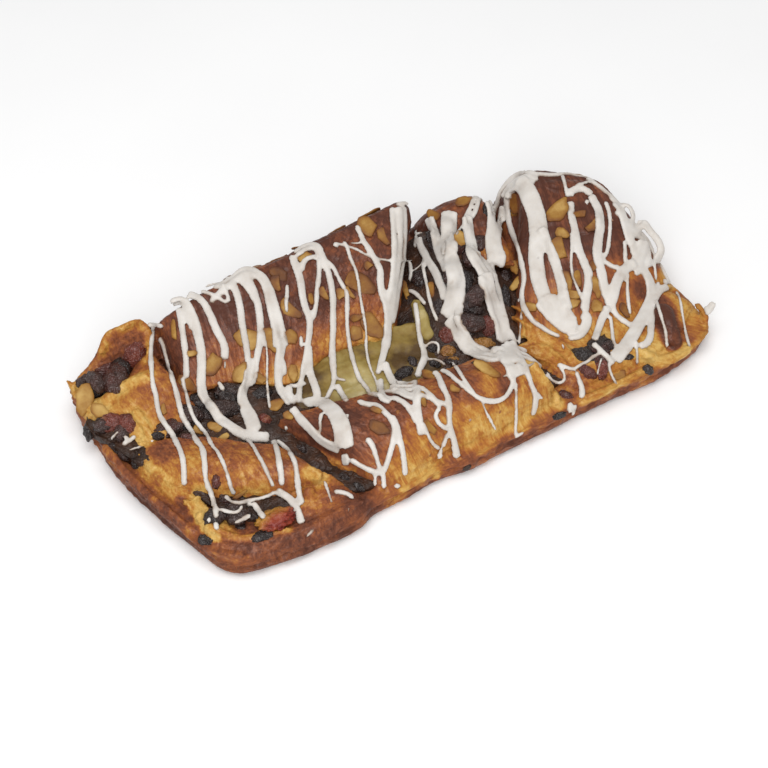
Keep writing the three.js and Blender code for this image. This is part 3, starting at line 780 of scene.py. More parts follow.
def mottled(tree, patch_scale, speck_scale):
    """Broad patches and fine specks, as two noises."""
    group = put(tree, "ShaderNodeGroup", node_tree=mottle)
    group.inputs["Patch Scale"].default_value = patch_scale
    group.inputs["Speck Scale"].default_value = speck_scale
    return group.outputs["Patches"], group.outputs["Specks"]


def blend_value(tree, operation, a, b):
    return put(tree, "ShaderNodeMath", {0: a, 1: b}, operation=operation).outputs[0]


def rescaled(tree, value, low, high, to_low, to_high):
    """A value moved from one range to another."""
    return put(tree, "ShaderNodeMapRange", {
        "Value": value, "From Min": low, "From Max": high, "To Min": to_low, "To Max": to_high,
    }).outputs["Result"]


def bumped(tree, height, distance, strength=1.0):
    inputs = {"Height": height, "Distance": distance, "Strength": strength}
    return put(tree, "ShaderNodeBump", inputs).outputs["Normal"]


# Most of a noise lies in this range.
NOISE_RANGE = (0.3, 0.7)


def stored(tree, name):
    """A number kept at each point of the mesh."""
    return put(tree, "ShaderNodeAttribute", attribute_name=name).outputs["Fac"]


def varied(tree, value, by, swing):
    """A value raised and lowered by a noise, up to a swing."""
    return blend_value(tree, "ADD", value, rescaled(tree, by, *NOISE_RANGE, -swing, swing))


def colour_by(tree, shader, value, tones):
    tree.links.new(tone_ramp(tree, value, tones), shader.inputs["Base Color"])


def roughness_by(tree, shader, value, low, high):
    tree.links.new(rescaled(tree, value, *NOISE_RANGE, low, high), shader.inputs["Roughness"])


CRUST_TONES = [
    (0.0, (210, 172, 98)), (0.2, (193, 146, 73)), (0.4, (172, 112, 50)),
    (0.6, (144, 83, 49)), (0.8, (112, 65, 46)), (1.0, (84, 50, 39)),
]
PATCH_SWING = 0.23
SPECK_SWING = 0.08
STREAK_SWING = 0.15
EGG_WASH_SWING = -0.08
crust_finish, tree, shader = new_finish("baked_crust")
patches, specks = mottled(tree, 70.0, 520.0)
along_fold = stored(tree, "along_fold")
down_fold = stored(tree, "down_fold")


def fold_streaks(along_rate, down_rate, detail):
    """Noise drawn out down the fold; the rates are bumps to the millimetre."""
    place = put(tree, "ShaderNodeCombineXYZ", {
        "X": blend_value(tree, "MULTIPLY", along_fold, along_rate),
        "Y": blend_value(tree, "MULTIPLY", down_fold, down_rate),
    }).outputs["Vector"]
    return put(tree, "ShaderNodeTexNoise", {
        "Vector": place, "Scale": 1.0, "Detail": detail, "Roughness": 0.6, "Distortion": 0.8,
    }).outputs["Fac"]


streaks = fold_streaks(0.45, 0.09, 4.0)
egg_wash = fold_streaks(1.2, 0.28, 2.0)
uneven = varied(tree, stored(tree, "browning"), patches, PATCH_SWING)
uneven = varied(tree, uneven, specks, SPECK_SWING)
uneven = varied(tree, uneven, streaks, STREAK_SWING)
uneven = varied(tree, uneven, egg_wash, EGG_WASH_SWING)
colour_by(tree, shader, uneven, CRUST_TONES)
tree.links.new(rescaled(tree, uneven, 0.2, 1.0, 0.62, 0.48), shader.inputs["Roughness"])
tree.links.new(rescaled(tree, streaks, 0.34, 0.56, 0.5, 0.0), shader.inputs["Coat Weight"])
shader.inputs["Specular IOR Level"].default_value = 0.12
shader.inputs["Coat Roughness"].default_value = 0.2
crackle = blend_value(tree, "ADD", egg_wash, blend_value(tree, "MULTIPLY", specks, 0.5))
tree.links.new(bumped(tree, crackle, 0.5 * MM, 0.6), shader.inputs["Normal"])
dough.data.materials.append(crust_finish)
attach(dough, "root")
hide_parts("pastry")

# The fruit filling: a dark, sticky paste of chopped dried fruit spread on the sheet before folding.
# It runs through the strip from end to end, thin under the folds, fuller in the open middle, and
# heaped up in the gap between the far folds.
FILLING_NEAR = [
    (3, 84), (13, 58), (21, 40), (27, 28), (38, 20), (66, 16), (82, 10.5), (94, 10), (108, 14), (140, 14),
    (232, 14), (274, 24),
]
FILLING_FAR = [
    (-3.4, 113), (5, 124), (15, 129), (34, 131), (50, 131), (66, 131), (82, 131), (94, 131), (108, 130.5),
    (140, 130), (232, 122), (276, 76),
]
FILLING_BOTTOM = 9.8
FILLING_THIN = 3.6
MIDDLE_RIDGE = {"across": 72, "spread": 22, "rise": 2.2}
GAP_HEAP = {"along": 192, "across": 92, "spread_along": 21, "spread_across": 36, "rise": 20, "lean": 0.42}
PASTE_LUMP = (9 * MM, 2.4 * MM)
PASTE_SHREDS = (2.6 * MM, 0.5 * MM)
PASTE_ROWS = 240
PASTE_ACROSS = np.linspace(0, 1, 120)
LUMP_TOP = 0.45
LUMP_REACH = 0.75
BORDER_RISE = 8
UNDER_CUSTARD = {
    "along": -0.014, "across": -0.006, "spread_along": 0.042, "spread_across": 0.022, "sunk": -0.8,
}


def layer_rings(near_line, far_line, bottom, top_at, rows, columns):
    """A layer between a near and a far line, as rings of its top from near to far and its underside."""
    lengthwise = np.linspace(0, 1, rows)
    crosswise = np.linspace(0, 1, columns)
    near = smooth_line([(*mark, 0) for mark in near_line], lengthwise)[:, None]
    far = smooth_line([(*mark, 0) for mark in far_line], lengthwise)[:, None]
    top = between(near, far, crosswise[None, :, None])
    under = top[:, ::-1].copy()
    under[..., 2] = bottom
    top[..., 2] = top_at(top[..., 0], top[..., 1], lengthwise[:, None], crosswise[None, :])
    return np.concatenate([top, under], axis=1)


def bell(distance, spread):
    """1 at no distance, and less and less further off."""
    return np.exp(-((distance / spread) ** 2))


def filling_top(along, across, lengthwise=0, crosswise=0):
    """How far up the paste reaches at a mark on the strip."""
    heap_across = across - GAP_HEAP["across"]
    leaning = along - GAP_HEAP["along"] - GAP_HEAP["lean"] * heap_across
    heap = bell(leaning, GAP_HEAP["spread_along"]) * bell(heap_across, GAP_HEAP["spread_across"])
    ridge = MIDDLE_RIDGE["rise"] * bell(across - MIDDLE_RIDGE["across"], MIDDLE_RIDGE["spread"])
    return SHEET_THICKNESS + FILLING_THIN + ridge + GAP_HEAP["rise"] * heap


def faced_out(piece):
    """Turns every face of a closed mesh outwards."""
    shape = bmesh.new()
    shape.from_mesh(piece.data)
    bmesh.ops.recalc_face_normals(shape, faces=shape.faces)
    shape.to_mesh(piece.data)
    shape.free()
    piece.data.shade_smooth()


def roughened(piece, *bumps):
    """Moves the surface in and out; each bump is its size across and its height."""
    points = points_of(piece.data)
    normals = normals_of(piece.data)
    for seed, (size, height) in enumerate(bumps):
        points = points + normals * (waviness(points, size, 1.3 * seed + 0.4) * height)[:, None]
    points[:, 2] = np.maximum(points[:, 2], 0)
    set_points(piece.data, points)


paste = mesh_piece("fruit_paste", *closed_skin(framed(
    layer_rings(FILLING_NEAR, FILLING_FAR, FILLING_BOTTOM, filling_top, PASTE_ROWS, len(PASTE_ACROSS)))))
faced_out(paste)
lump_size, lump_height = PASTE_LUMP
points = points_of(paste.data)
lump_gaps = np.array([noise.voronoi(Vector(point) / lump_size)[0][0] for point in points.tolist()])
on_top = points[:, 2] > (FILLING_BOTTOM + 1) * MM
under_custard = bell(points[:, 0] - UNDER_CUSTARD["along"], UNDER_CUSTARD["spread_along"])
under_custard *= bell(points[:, 1] - UNDER_CUSTARD["across"], UNDER_CUSTARD["spread_across"])
lumps = LUMP_TOP - np.minimum(1, (lump_gaps / LUMP_REACH) ** 2)
to_border = np.concatenate([np.tile(np.minimum(PASTE_ACROSS, PASTE_ACROSS[::-1]), 2 * PASTE_ROWS), [0, 0]])
lumps = between(lumps, UNDER_CUSTARD["sunk"], under_custard)
points[:, 2] += on_top * lump_height * lumps * np.clip(BORDER_RISE * to_border, 0, 1)
set_points(paste.data, points)
roughened(paste, PASTE_SHREDS)

wrinkles = bpy.data.node_groups.new("fruit_wrinkles", "ShaderNodeTree")
wrinkles.interface.new_socket("Scale", in_out="INPUT", socket_type="NodeSocketFloat")
wrinkles.interface.new_socket("Height", in_out="OUTPUT", socket_type="NodeSocketFloat")
wrinkle_in = put(wrinkles, "NodeGroupInput")
wrinkle_place = put(wrinkles, "ShaderNodeTexCoord")
wrinkle_noise = put(wrinkles, "ShaderNodeTexNoise", {
    "Vector": wrinkle_place.outputs["Object"], "Scale": wrinkle_in.outputs["Scale"], "Detail": 2.0,
    "Roughness": 0.55, "Distortion": 1.2,
}).outputs["Fac"]
wrinkle_ridge = put(wrinkles, "ShaderNodeMath", {0: wrinkle_noise, 1: 0.5}, operation="SUBTRACT").outputs[0]
wrinkle_ridge = put(wrinkles, "ShaderNodeMath", {0: wrinkle_ridge}, operation="ABSOLUTE").outputs[0]
put(wrinkles, "NodeGroupOutput", {"Height": wrinkle_ridge})


def wrinkle_height(tree, scale):
    group = put(tree, "ShaderNodeGroup", node_tree=wrinkles)
    group.inputs["Scale"].default_value = scale
    return group.outputs["Height"]


FRUIT_TONES = [(0.0, (30, 20, 16)), (0.3, (40, 27, 21)), (0.55, (62, 41, 30)), (0.8, (98, 63, 42))]
# Painted shade for the slit: how far the paste down in the slit is darkened to stand for its shadow,
# by millimetres along the strip. The slit slants, and lies near the front.
SLIT_PAINTED_SHADE = ([-50, -38, -22, -14], [-0.02, -0.32, -0.3, 0.0])
SLIT_SLANT = 0.2
SLIT_FROM = (12, 0.6)
paste_place = points_of(paste.data) / MM
painted_slit_shade = np.interp(paste_place[:, 0] + SLIT_SLANT * paste_place[:, 1], *SLIT_PAINTED_SHADE)
keep_value(paste.data, "painted_slit_shade", painted_slit_shade * np.clip(-paste_place[:, 1] / SLIT_FROM[0] - SLIT_FROM[1], 0, 1))
paste_finish, tree, shader = new_finish("fruit_paste")
patches, specks = mottled(tree, 110.0, 700.0)
# Painted shade: the stored slit shade darkens the paste's colour down in the slit.
colour_by(tree, shader, blend_value(tree, "ADD", stored(tree, "painted_slit_shade"), patches), FRUIT_TONES)
roughness_by(tree, shader, specks, 0.28, 0.5)
shader.inputs["Specular IOR Level"].default_value = 0.4
tree.links.new(bumped(tree, wrinkle_height(tree, 260.0), 2.0 * MM), shader.inputs["Normal"])
paste.data.materials.append(paste_finish)
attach(paste, "root")
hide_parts("fruit_filling")

# The custard: a spoonful of pale vanilla custard, set to a soft skin in the open middle of the strip
# between the lips of the folds.
CUSTARD_NEAR = [(84, 66), (104, 53), (128, 45), (148, 43), (160, 47), (167, 57)]
CUSTARD_FAR = [(84, 80), (104, 84), (128, 85), (148, 81), (160, 74), (167, 63)]
CUSTARD_BOTTOM = 12.5
CUSTARD_EDGE = 15.5
CUSTARD_CROWN = 18.5
SWELL_ALONG = (0.12, 0.88)
CUSTARD_RIPPLE = (0.9, 0.22, 0.42)
CUSTARD_FOLDS = (12 * MM, 1.6 * MM)
CUSTARD_WRINKLES = (4 * MM, 0.7 * MM)
CUSTARD_FAR_RISE = 5.5
CUSTARD_GRID = (110, 60)
SMEAR_RISE = 0.2
SMEAR_SUNK = 1 * MM
# How pale the custard is, by millimetres along the strip. Painted shade darkens it towards the far
# lip, where the lip shades it, and in the shadowed hollow at its right.
CUSTARD_PALE = ([-60, -45, -30, -20, -10], [0.3, 0.38, 0.85, 0.8, 0.45])
FAR_SHADE = 0.45
FAR_SHADE_SPAN = (-14, 24)
PALE_STREAKS = (3.5 * MM, 0.14)
PALE_STRETCH = (0.5, 1.6, 1)
HOLLOW_SHADED_TONE = 0.36
HOLLOW_SPAN = (-14, 8)
HOLLOW_SHADE_SPAN = (2, 8)
SMEAR_PALE = 0.6
CUSTARD_TONES = [
    (0.0, (84, 62, 32)), (0.3, (136, 112, 56)), (0.6, (160, 141, 84)), (1.0, (206, 192, 148)),
]
# Smears up the side of the fruit: width in pixels at the start and the end, and the pixels on the way.
CUSTARD_SMEARS = [
    (6, 15, (415, 302), (420, 314), (425, 327), (428, 341)),
]


def custard_top(along, across, lengthwise, crosswise):
    """How far up the custard reaches: swollen, rippled, and drawn up against the far lip."""
    swell = np.sin(math.pi * between(*SWELL_ALONG, lengthwise)) * np.sin(math.pi * crosswise)
    height, along_rate, across_rate = CUSTARD_RIPPLE
    x = along - STRIP_MIDDLE[0]
    y = across - STRIP_MIDDLE[1]
    wave = height * np.sin(along_rate * x + across_rate * y)
    against_lip = CUSTARD_FAR_RISE * crosswise ** 4 * np.sin(math.pi * lengthwise)
    return CUSTARD_EDGE + (CUSTARD_CROWN - CUSTARD_EDGE + wave) * swell + against_lip


custard_skins = [closed_skin(framed(
    layer_rings(CUSTARD_NEAR, CUSTARD_FAR, CUSTARD_BOTTOM, custard_top, *CUSTARD_GRID)))]
ground = landing_tree(skin_of(dough), skin_of(paste))
for start_width, end_width, *pixels in CUSTARD_SMEARS:
    path, facing, widths = laid_line(ground, start_width, end_width, pixels)
    seed = len(custard_skins)
    custard_skins.append(strand_skin(path, facing, widths, SMEAR_RISE * widths, SMEAR_SUNK, seed))
custard = mesh_piece("custard_pool", *joined_skins(custard_skins))
faced_out(custard)
roughened(custard, CUSTARD_FOLDS, CUSTARD_WRINKLES)
custard_along, custard_across, _ = points_of(custard.data).T / MM
custard_tone_and_shade = np.interp(custard_along, *CUSTARD_PALE)
# Painted shade: the custard darkens towards the far lip, where the lip's shadow falls.
custard_tone_and_shade -= FAR_SHADE * np.clip((custard_across - FAR_SHADE_SPAN[0]) / FAR_SHADE_SPAN[1], 0, 1)
custard_tone_and_shade += PALE_STREAKS[1] * waviness(points_of(custard.data) * PALE_STRETCH, PALE_STREAKS[0], 2.1)
# Painted shade: in the hollow at the right the custard darkens, most on its near side, where the shadow lies.
in_hollow = np.clip((custard_along - HOLLOW_SPAN[0]) / HOLLOW_SPAN[1], 0, 1)
in_shade = np.clip((HOLLOW_SHADE_SPAN[0] - custard_across) / HOLLOW_SHADE_SPAN[1], 0, 1)
hollow_shaded_tone = HOLLOW_SHADED_TONE - HOLLOW_SHADED_TONE * in_shade
custard_tone_and_shade = between(custard_tone_and_shade, hollow_shaded_tone, in_hollow)
custard_tone_and_shade[len(custard_skins[0][0]):] = SMEAR_PALE
keep_value(custard.data, "paleness_and_painted_shade", custard_tone_and_shade)
custard_finish, tree, shader = new_finish("set_custard")
patches, specks = mottled(tree, 85.0, 400.0)
colour_by(tree, shader, varied(tree, stored(tree, "paleness_and_painted_shade"), patches, 0.25), CUSTARD_TONES)
roughness_by(tree, shader, specks, 0.4, 0.55)
shader.inputs["Specular IOR Level"].default_value = 0.25
shader.inputs["Subsurface Weight"].default_value = 0.15
shader.inputs["Subsurface Radius"].default_value = (0.004, 0.003, 0.0015)
tree.links.new(bumped(tree, specks, 0.3 * MM, 0.5), shader.inputs["Normal"])
custard.data.materials.append(custard_finish)
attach(custard, "root")
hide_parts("custard")

# The raisins: whole and halved dried grapes and cherries, wrinkled and sticky, that lie in the paste
# and have come up in the pockets and at the slits.
RAISIN_SIZE = (14, 9.5, 8)
RAISIN_STACK = 0.75
RAISIN_RISE = 0.2
RAISIN_SINK = 0.25
RAISIN_THICKNESS = 0.42
RAISIN_WRINKLE = 0.3
RESTING_REACH = 9 * MM
# Raisins under and beside the folds: the middle along and across, the reach both ways, how far the
# heap leans, how many lie in a layer, and the layers.
RAISIN_CLUSTERS = [
    ((17, 126), (14, 4), 0.15, 4, 2), ((8, 104), (6, 6), 0, 3, 1), ((24, 30), (9, 4), -0.4, 3, 1),
    ((50, 88), (26, 6), -0.45, 5, 1), ((192, 86), (12, 34), 0.42, 9, 1),
    ((217, 16), (11, 5), 0, 4, 1),
]
# Raisins that show from the viewpoint: pixel across and down, length and breadth in pixels, slant in
# degrees, and how red the fruit is. The dark ones at about (395, 382), (404, 373) and (413, 362) lie in
# the shadowed hollow right of the custard and partly stand in for its shade, as painted shade.
RAISINS_SEEN = [
    (134, 354, 36, 27, 80, 0.7), (107, 371, 36, 18, -20, 0.5), (87, 380, 29, 13, -25, 0.3),
    (108, 389, 28, 20, 10, 0.4), (110, 423, 32, 21, -10, 0.75), (127, 424, 24, 20, 60, 0.72),
    (88, 431, 22, 12, 85, 0.0), (158, 436, 15, 10, 5, 0.0), (181, 428, 18, 10, 10, 0.0),
    (190, 438, 20, 9, 25, 0.5), (198, 402, 22, 14, 50, 0.0), (207, 416, 24, 14, 55, 0.1),
    (225, 398, 28, 17, 20, 0.0), (230, 411, 24, 14, 10, 0.1), (262, 394, 26, 18, -30, 0.0),
    (265, 419, 15, 12, 30, 0.8), (113, 449, 20, 13, 30, 0.1), (124, 456, 16, 10, 30, 0.2),
    (136, 466, 14, 9, 40, 0.0), (216, 482, 11, 16, 0, 0.6), (226, 500, 18, 14, 30, 0.3),
    (240, 527, 15, 12, 20, 0.1), (206, 541, 21, 15, 15, 0.0), (261, 538, 29, 16, -22, 0.0),
    (585, 356, 30, 20, 20, 0.0), (588, 372, 22, 14, 30, 0.6), (602, 369, 14, 24, 0, 0.7),
    (609, 346, 16, 14, 40, 0.2), (628, 357, 14, 7, -10, 0.0), (566, 396, 18, 12, 25, 0.5),
    (558, 416, 20, 8, -15, 0.0), (648, 370, 14, 12, 0, 0.1), (465, 284, 18, 30, 0, 0.0),
    (472, 308, 24, 20, 20, 0.1), (488, 327, 17, 25, 0, 0.65), (506, 300, 12, 36, 0, 0.0),
    (447, 336, 21, 17, 60, 0.7), (438, 308, 11, 24, 0, 0.1), (420, 279, 20, 22, 20, 0.1),
    (434, 246, 12, 40, -22, 0.1), (432, 348, 12, 12, 0, 0.0), (435, 364, 14, 9, 10, 0.0),
    (505, 278, 13, 22, 0, 0.2), (487, 212, 10, 22, 0, 0.0), (448, 351, 17, 14, 10, 1.0),
    (466, 332, 20, 18, 30, 0.0), (462, 347, 16, 12, 0, 0.2), (484, 343, 26, 14, 10, 1.0),
    (453, 360, 14, 8, 0, 1.0), (404, 373, 24, 14, -30, 0.0), (395, 382, 16, 10, -20, 0.1),
    (413, 362, 15, 10, 60, 0.1), (452, 362, 18, 9, 10, 0.1), (480, 363, 20, 10, 0, 0.0),
    (498, 352, 16, 10, 10, 0.3), (344, 477, 15, 9, 30, 0.1), (359, 487, 15, 8, 35, 0.0),
    (302, 449, 14, 9, 30, 0.1),
]


def resting_plane(tree, rays):
    """Where the first ray lands, and the way the surface faces round there."""
    hits = [tree.ray_cast(origin, direction) for origin, direction in rays]
    centre = hits[0][0]
    if centre is None:
        return None
    near = [hit for hit in hits if hit[0] is not None and (hit[0] - centre).length < RESTING_REACH]
    facing = sum((hit[1] for hit in near), Vector()).normalized()
    return centre, facing


def pixel_rays(x, y, spread):
    """Sight lines through a pixel and through eight others round it."""
    steps = [(0, 0)] + [(i, j) for i in (-1, 0, 1) for j in (-1, 0, 1) if i or j]
    return [(eye, sight_line(x + i * spread, y + j * spread)) for i, j in steps]


def slanted(degrees):
    """A direction in the picture, turned downwards from its right."""
    angle = math.radians(degrees)
    return view_right * math.cos(angle) - view_up * math.sin(angle)


def seeded_draw(seed):
    """Numbers between 0 and 1, the same on every run."""
    state = seed
    while True:
        state = (state * 1664525 + 1013904223) % 4294967296
        yield state / 4294967296


def ball_shape(divisions):
    """Points and faces of a round ball of radius 1."""
    shape = bmesh.new()
    bmesh.ops.create_icosphere(shape, subdivisions=divisions, radius=1)
    points = np.array([vertex.co for vertex in shape.verts])
    faces = [tuple(vertex.index for vertex in face.verts) for face in shape.faces]
    shape.free()
    return points, faces


def wrinkled(ball, seed, depth):
    """A ball that has shrunk and creased as it dried."""
    shift = np.array([seed * 3.7, seed * 1.9, -seed * 2.3])
    dents = np.abs(waviness(ball * 1.4 + shift, 1.0))
    folds = (1 - np.abs(waviness(ball * 2.3 - shift, 1.0))) ** 4
    lines = (1 - np.abs(waviness(ball * 5.0 + shift, 1.0))) ** 4
    return ball * (1.12 - depth * (0.8 * dents + 0.6 * folds + 0.5 * lines))[:, None]


def set_out(shape, centre, axes, halves):
    """Lays a unit shape at a centre, along three axes with the given half sizes."""
    return shape * np.asarray(halves) @ np.array([list(axis) for axis in axes]) + np.array(centre)


golden_angle = math.pi * (3 - math.sqrt(5))
ball_points, ball_faces = ball_shape(3)
raisin_skins = []
raisin_redness = []
draw = seeded_draw(7)
for at, reach, lean, count, layer_count in RAISIN_CLUSTERS:
    for i in range(count * layer_count):
        in_layer = i % count
        radius = math.sqrt((in_layer + 0.5) / count)
        across = at[1] + reach[1] * radius * math.sin(in_layer * golden_angle)
        along = at[0] + reach[0] * radius * math.cos(in_layer * golden_angle) + lean * (across - at[1])
        up = filling_top(along, across) + RAISIN_SIZE[2] * (RAISIN_RISE + RAISIN_STACK * (i // count))
        size = 0.85 + 0.3 * next(draw)
        turn = math.pi * next(draw)
        tip = 0.5 * (next(draw) - 0.5)
        long_axis = Vector((math.cos(turn) * math.cos(tip), math.sin(turn) * math.cos(tip), -math.sin(tip)))
        side_axis = Vector((-math.sin(turn), math.cos(turn), 0))
        axes = (long_axis, side_axis, long_axis.cross(side_axis))
        halves = [extent * size * MM / 2 for extent in RAISIN_SIZE]
        shape = wrinkled(ball_points, len(raisin_skins), RAISIN_WRINKLE)
        raisin_skins.append((set_out(shape, framed((along, across, up)), axes, halves), ball_faces))
        raisin_redness.append(0.4 * next(draw))

ground = landing_tree(*map(skin_of, (dough, paste, custard)))
for x, y, length, breadth, slant, redness in RAISINS_SEEN:
    rest = resting_plane(ground, pixel_rays(x, y, 5))
    if rest is None:
        continue
    centre, facing = rest
    facing = (facing + towards_viewer).normalized()
    heading = slanted(slant)
    long_axis = (heading - facing * heading.dot(facing)).normalized()
    span = pixel_span(centre)
    halves = [length * span / 2, breadth * span / 2, min(length, breadth) * span * RAISIN_THICKNESS]
    centre = centre - facing * halves[2] * RAISIN_SINK
    centre.z = max(centre.z, max(halves) * 0.6)
    shape = wrinkled(ball_points, len(raisin_skins), RAISIN_WRINKLE)
    axes = (long_axis, facing.cross(long_axis), facing)
    raisin_skins.append((set_out(shape, centre, axes, halves), ball_faces))
    raisin_redness.append(redness)
raisins = mesh_piece("raisins", *joined_skins(raisin_skins))
keep_value(raisins.data, "redness", np.repeat(raisin_redness, len(ball_points)))

RAISIN_TONES = [
    (0.0, (40, 31, 29)), (0.3, (64, 43, 38)), (0.6, (98, 50, 42)), (0.8, (118, 56, 42)),
    (1.0, (156, 108, 50)),
]
raisin_finish, tree, shader = new_finish("raisin_skin")
patches, specks = mottled(tree, 180.0, 900.0)
colour_by(tree, shader, varied(tree, stored(tree, "redness"), patches, 0.12), RAISIN_TONES)
roughness_by(tree, shader, specks, 0.2, 0.38)
shader.inputs["Specular IOR Level"].default_value = 0.65
tree.links.new(bumped(tree, wrinkle_height(tree, 420.0), 2.5 * MM), shader.inputs["Normal"])
raisins.data.materials.append(raisin_finish)
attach(raisins, "root")
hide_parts("fruit_filling")

# The red fruit: one soft cooked cherry half that has come to the top at the near-left corner and
# shines with its own syrup.
RED_FRUIT_AT = (40, 16.5, 15)
RED_FRUIT_SIZE = (19.5, 12.5, 7)
RED_FRUIT_TURN = -0.12
RED_FRUIT_SEED = 41
RED_FRUIT_WRINKLE = 0.4
RED_FRUIT_TONES = [
    (0.0, (176, 126, 54)), (0.45, (158, 94, 44)), (0.75, (146, 64, 40)), (1.0, (126, 44, 34)),
]
red_ball, red_faces = ball_shape(4)
red_long = Vector((math.cos(RED_FRUIT_TURN), math.sin(RED_FRUIT_TURN), 0))
red_axes = (red_long, Vector((-red_long.y, red_long.x, 0)), Vector((0, 0, 1)))
red_halves = [extent * MM / 2 for extent in RED_FRUIT_SIZE]
red_shape = wrinkled(red_ball, RED_FRUIT_SEED, RED_FRUIT_WRINKLE)
red_points = set_out(red_shape, framed(RED_FRUIT_AT), red_axes, red_halves)
red_fruit = mesh_piece("red_fruit_half", red_points, red_faces)
keep_value(red_fruit.data, "ripeness", np.clip(0.5 + 0.35 * red_ball[:, 0] - 0.55 * red_ball[:, 1], 0, 1))
red_finish, tree, shader = new_finish("red_fruit_skin")
patches, specks = mottled(tree, 120.0, 800.0)
colour_by(tree, shader, varied(tree, stored(tree, "ripeness"), patches, 0.35), RED_FRUIT_TONES)
roughness_by(tree, shader, specks, 0.2, 0.4)
shader.inputs["Specular IOR Level"].default_value = 0.35
tree.links.new(bumped(tree, wrinkle_height(tree, 300.0), 1.2 * MM), shader.inputs["Normal"])
red_fruit.data.materials.append(red_finish)
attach(red_fruit, "root")
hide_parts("red_fruit")

# The almond flakes: thin slices of blanched almonds, strewn on the egg wash before baking, so that they
# lie flat on the crust, curl a little and toast tan to brown. One leans on the fruit at the left tip.
FLAKE_LENGTH = 14 * MM
FLAKE_BREADTH = 9.5 * MM
FLAKE_THICKNESS = 0.9 * MM
FLAKE_LONGEST = 18 * MM
FLAKE_CURL = 0.9 * MM
FLAKE_TILT = 0.4
FLAKE_LIFT = 2.2 * MM
PROPPED_TILT = 5
PROPPED_LIFT = 16 * MM
FLAKE_SHADING = 0.4
FLAKE_WARP = (0.3, 0.12 * MM)
FLAKE_LIFTED_EDGE = 1.6 * MM
FLAKE_LEAST_SEEN = 0.55
FLAKE_STOUTEST = 0.75
FLAKE_SECTORS = 26
FLAKE_RINGS = (0.0, 0.35, 0.7, 0.92, 1.0)
FLAKE_UNEVEN = 0.22
FLAKE_POINT = 0.1
FLAKE_TAPER = 0.22
# Where a flake is broken across and chipped along, from its middle: the least and what may be added.
BROKEN_AT = (0.12, 0.24)
CHIPPED_AT = (0.16, 0.2)
WHOLE = 0.6
# Flakes that show from the viewpoint: pixel across and down, length and breadth in pixels, slant in
# degrees, and how far the flake has toasted.
FLAKES_SEEN = [
    (252, 340, 36, 21, 20, 0.3), (271, 340, 28, 16, 60, 0.35),
    (281, 275, 26, 12, 20, 0.9), (277, 284, 17, 14, 80, 0.7), (291, 309, 26, 16, 45, 0.5),
    (291, 339, 18, 13, 80, 0.4), (293, 374, 18, 10, 85, 0.25), (311, 300, 13, 6, 85, 0.5),
    (324, 294, 14, 9, 60, 0.45), (240, 373, 22, 13, -65, 0.2), (214, 363, 28, 16, -60, 0.45),
    (192, 353, 10, 8, 0, 0.3), (175, 331, 24, 8, 85, 0.4), (187, 384, 22, 14, 30, 0.6),
    (304, 257, 15, 11, -20, 0.35), (370, 227, 27, 20, 40, 0.4), (384, 237, 19, 12, 70, 0.55),
    (369, 267, 12, 9, 40, 0.6), (361, 284, 32, 20, 25, 0.6), (372, 325, 30, 20, 60, 0.55),
    (357, 336, 20, 13, 80, 0.55), (356, 318, 14, 7, -15, 0.6), (341, 296, 16, 9, 70, 0.35),
    (351, 293, 14, 8, 60, 0.35), (406, 291, 21, 7, 80, 0.4), (435, 216, 15, 10, 30, 0.45),
    (463, 202, 18, 11, -20, 0.55), (461, 240, 18, 13, 80, 0.25), (515, 203, 20, 14, 80, 0.6),
    (511, 213, 16, 9, 20, 0.5), (517, 283, 19, 7, -60, 0.25), (515, 267, 15, 9, 70, 0.5),
    (432, 291, 19, 9, 75, 0.6), (558, 211, 29, 18, -60, 0.3), (562, 234, 14, 11, 30, 0.35),
    (561, 253, 33, 18, 75, 0.4), (591, 225, 17, 14, -40, 0.55), (582, 214, 18, 7, -15, 0.8),
    (566, 282, 23, 11, 80, 0.55), (578, 279, 18, 8, 80, 0.5), (594, 268, 15, 8, 60, 0.6),
    (596, 288, 22, 9, 80, 0.35), (597, 309, 17, 12, 80, 0.3), (572, 294, 16, 12, 20, 0.35),
    (571, 304, 17, 11, -20, 0.35), (531, 308, 15, 10, 20, 0.45), (487, 370, 30, 11, 45, 0.35),
    (432, 427, 20, 13, 40, 0.35), (455, 389, 11, 8, 40, 0.4), (379, 428, 24, 13, 30, 0.8),
    (377, 411, 14, 6, 30, 0.45), (423, 400, 15, 9, 80, 0.35), (431, 376, 17, 10, 40, 0.4),
    (277, 405, 18, 11, -35, 0.35), (289, 416, 11, 9, 30, 0.4), (263, 379, 18, 12, 40, 0.5),
    (218, 427, 20, 12, 20, 0.3), (225, 437, 17, 7, -40, 0.15), (200, 431, 13, 9, 40, 0.4),
    (240, 494, 17, 5, -35, 0.45), (166, 412, 16, 9, 70, 0.4), (100, 411, 18, 14, 20, 0.25),
    (621, 375, 18, 10, -20, 0.4), (500, 319, 13, 5, -15, 0.4), (624, 310, 16, 9, 70, 0.7),
]
# The flake that leans against the fruit at the left tip, in the same order.
FLAKES_PROPPED = [(88, 400, 33, 17, 98, 0.16)]
# Flakes on the sides that face away: the fold, how many lie there, their reach along it, and the stage.
FLAKES_BEHIND = [("far_left", 14, (0.06, 0.94), (0.14, 0.74)), ("far_right", 8, (0.3, 0.92), (0.14, 0.7))]


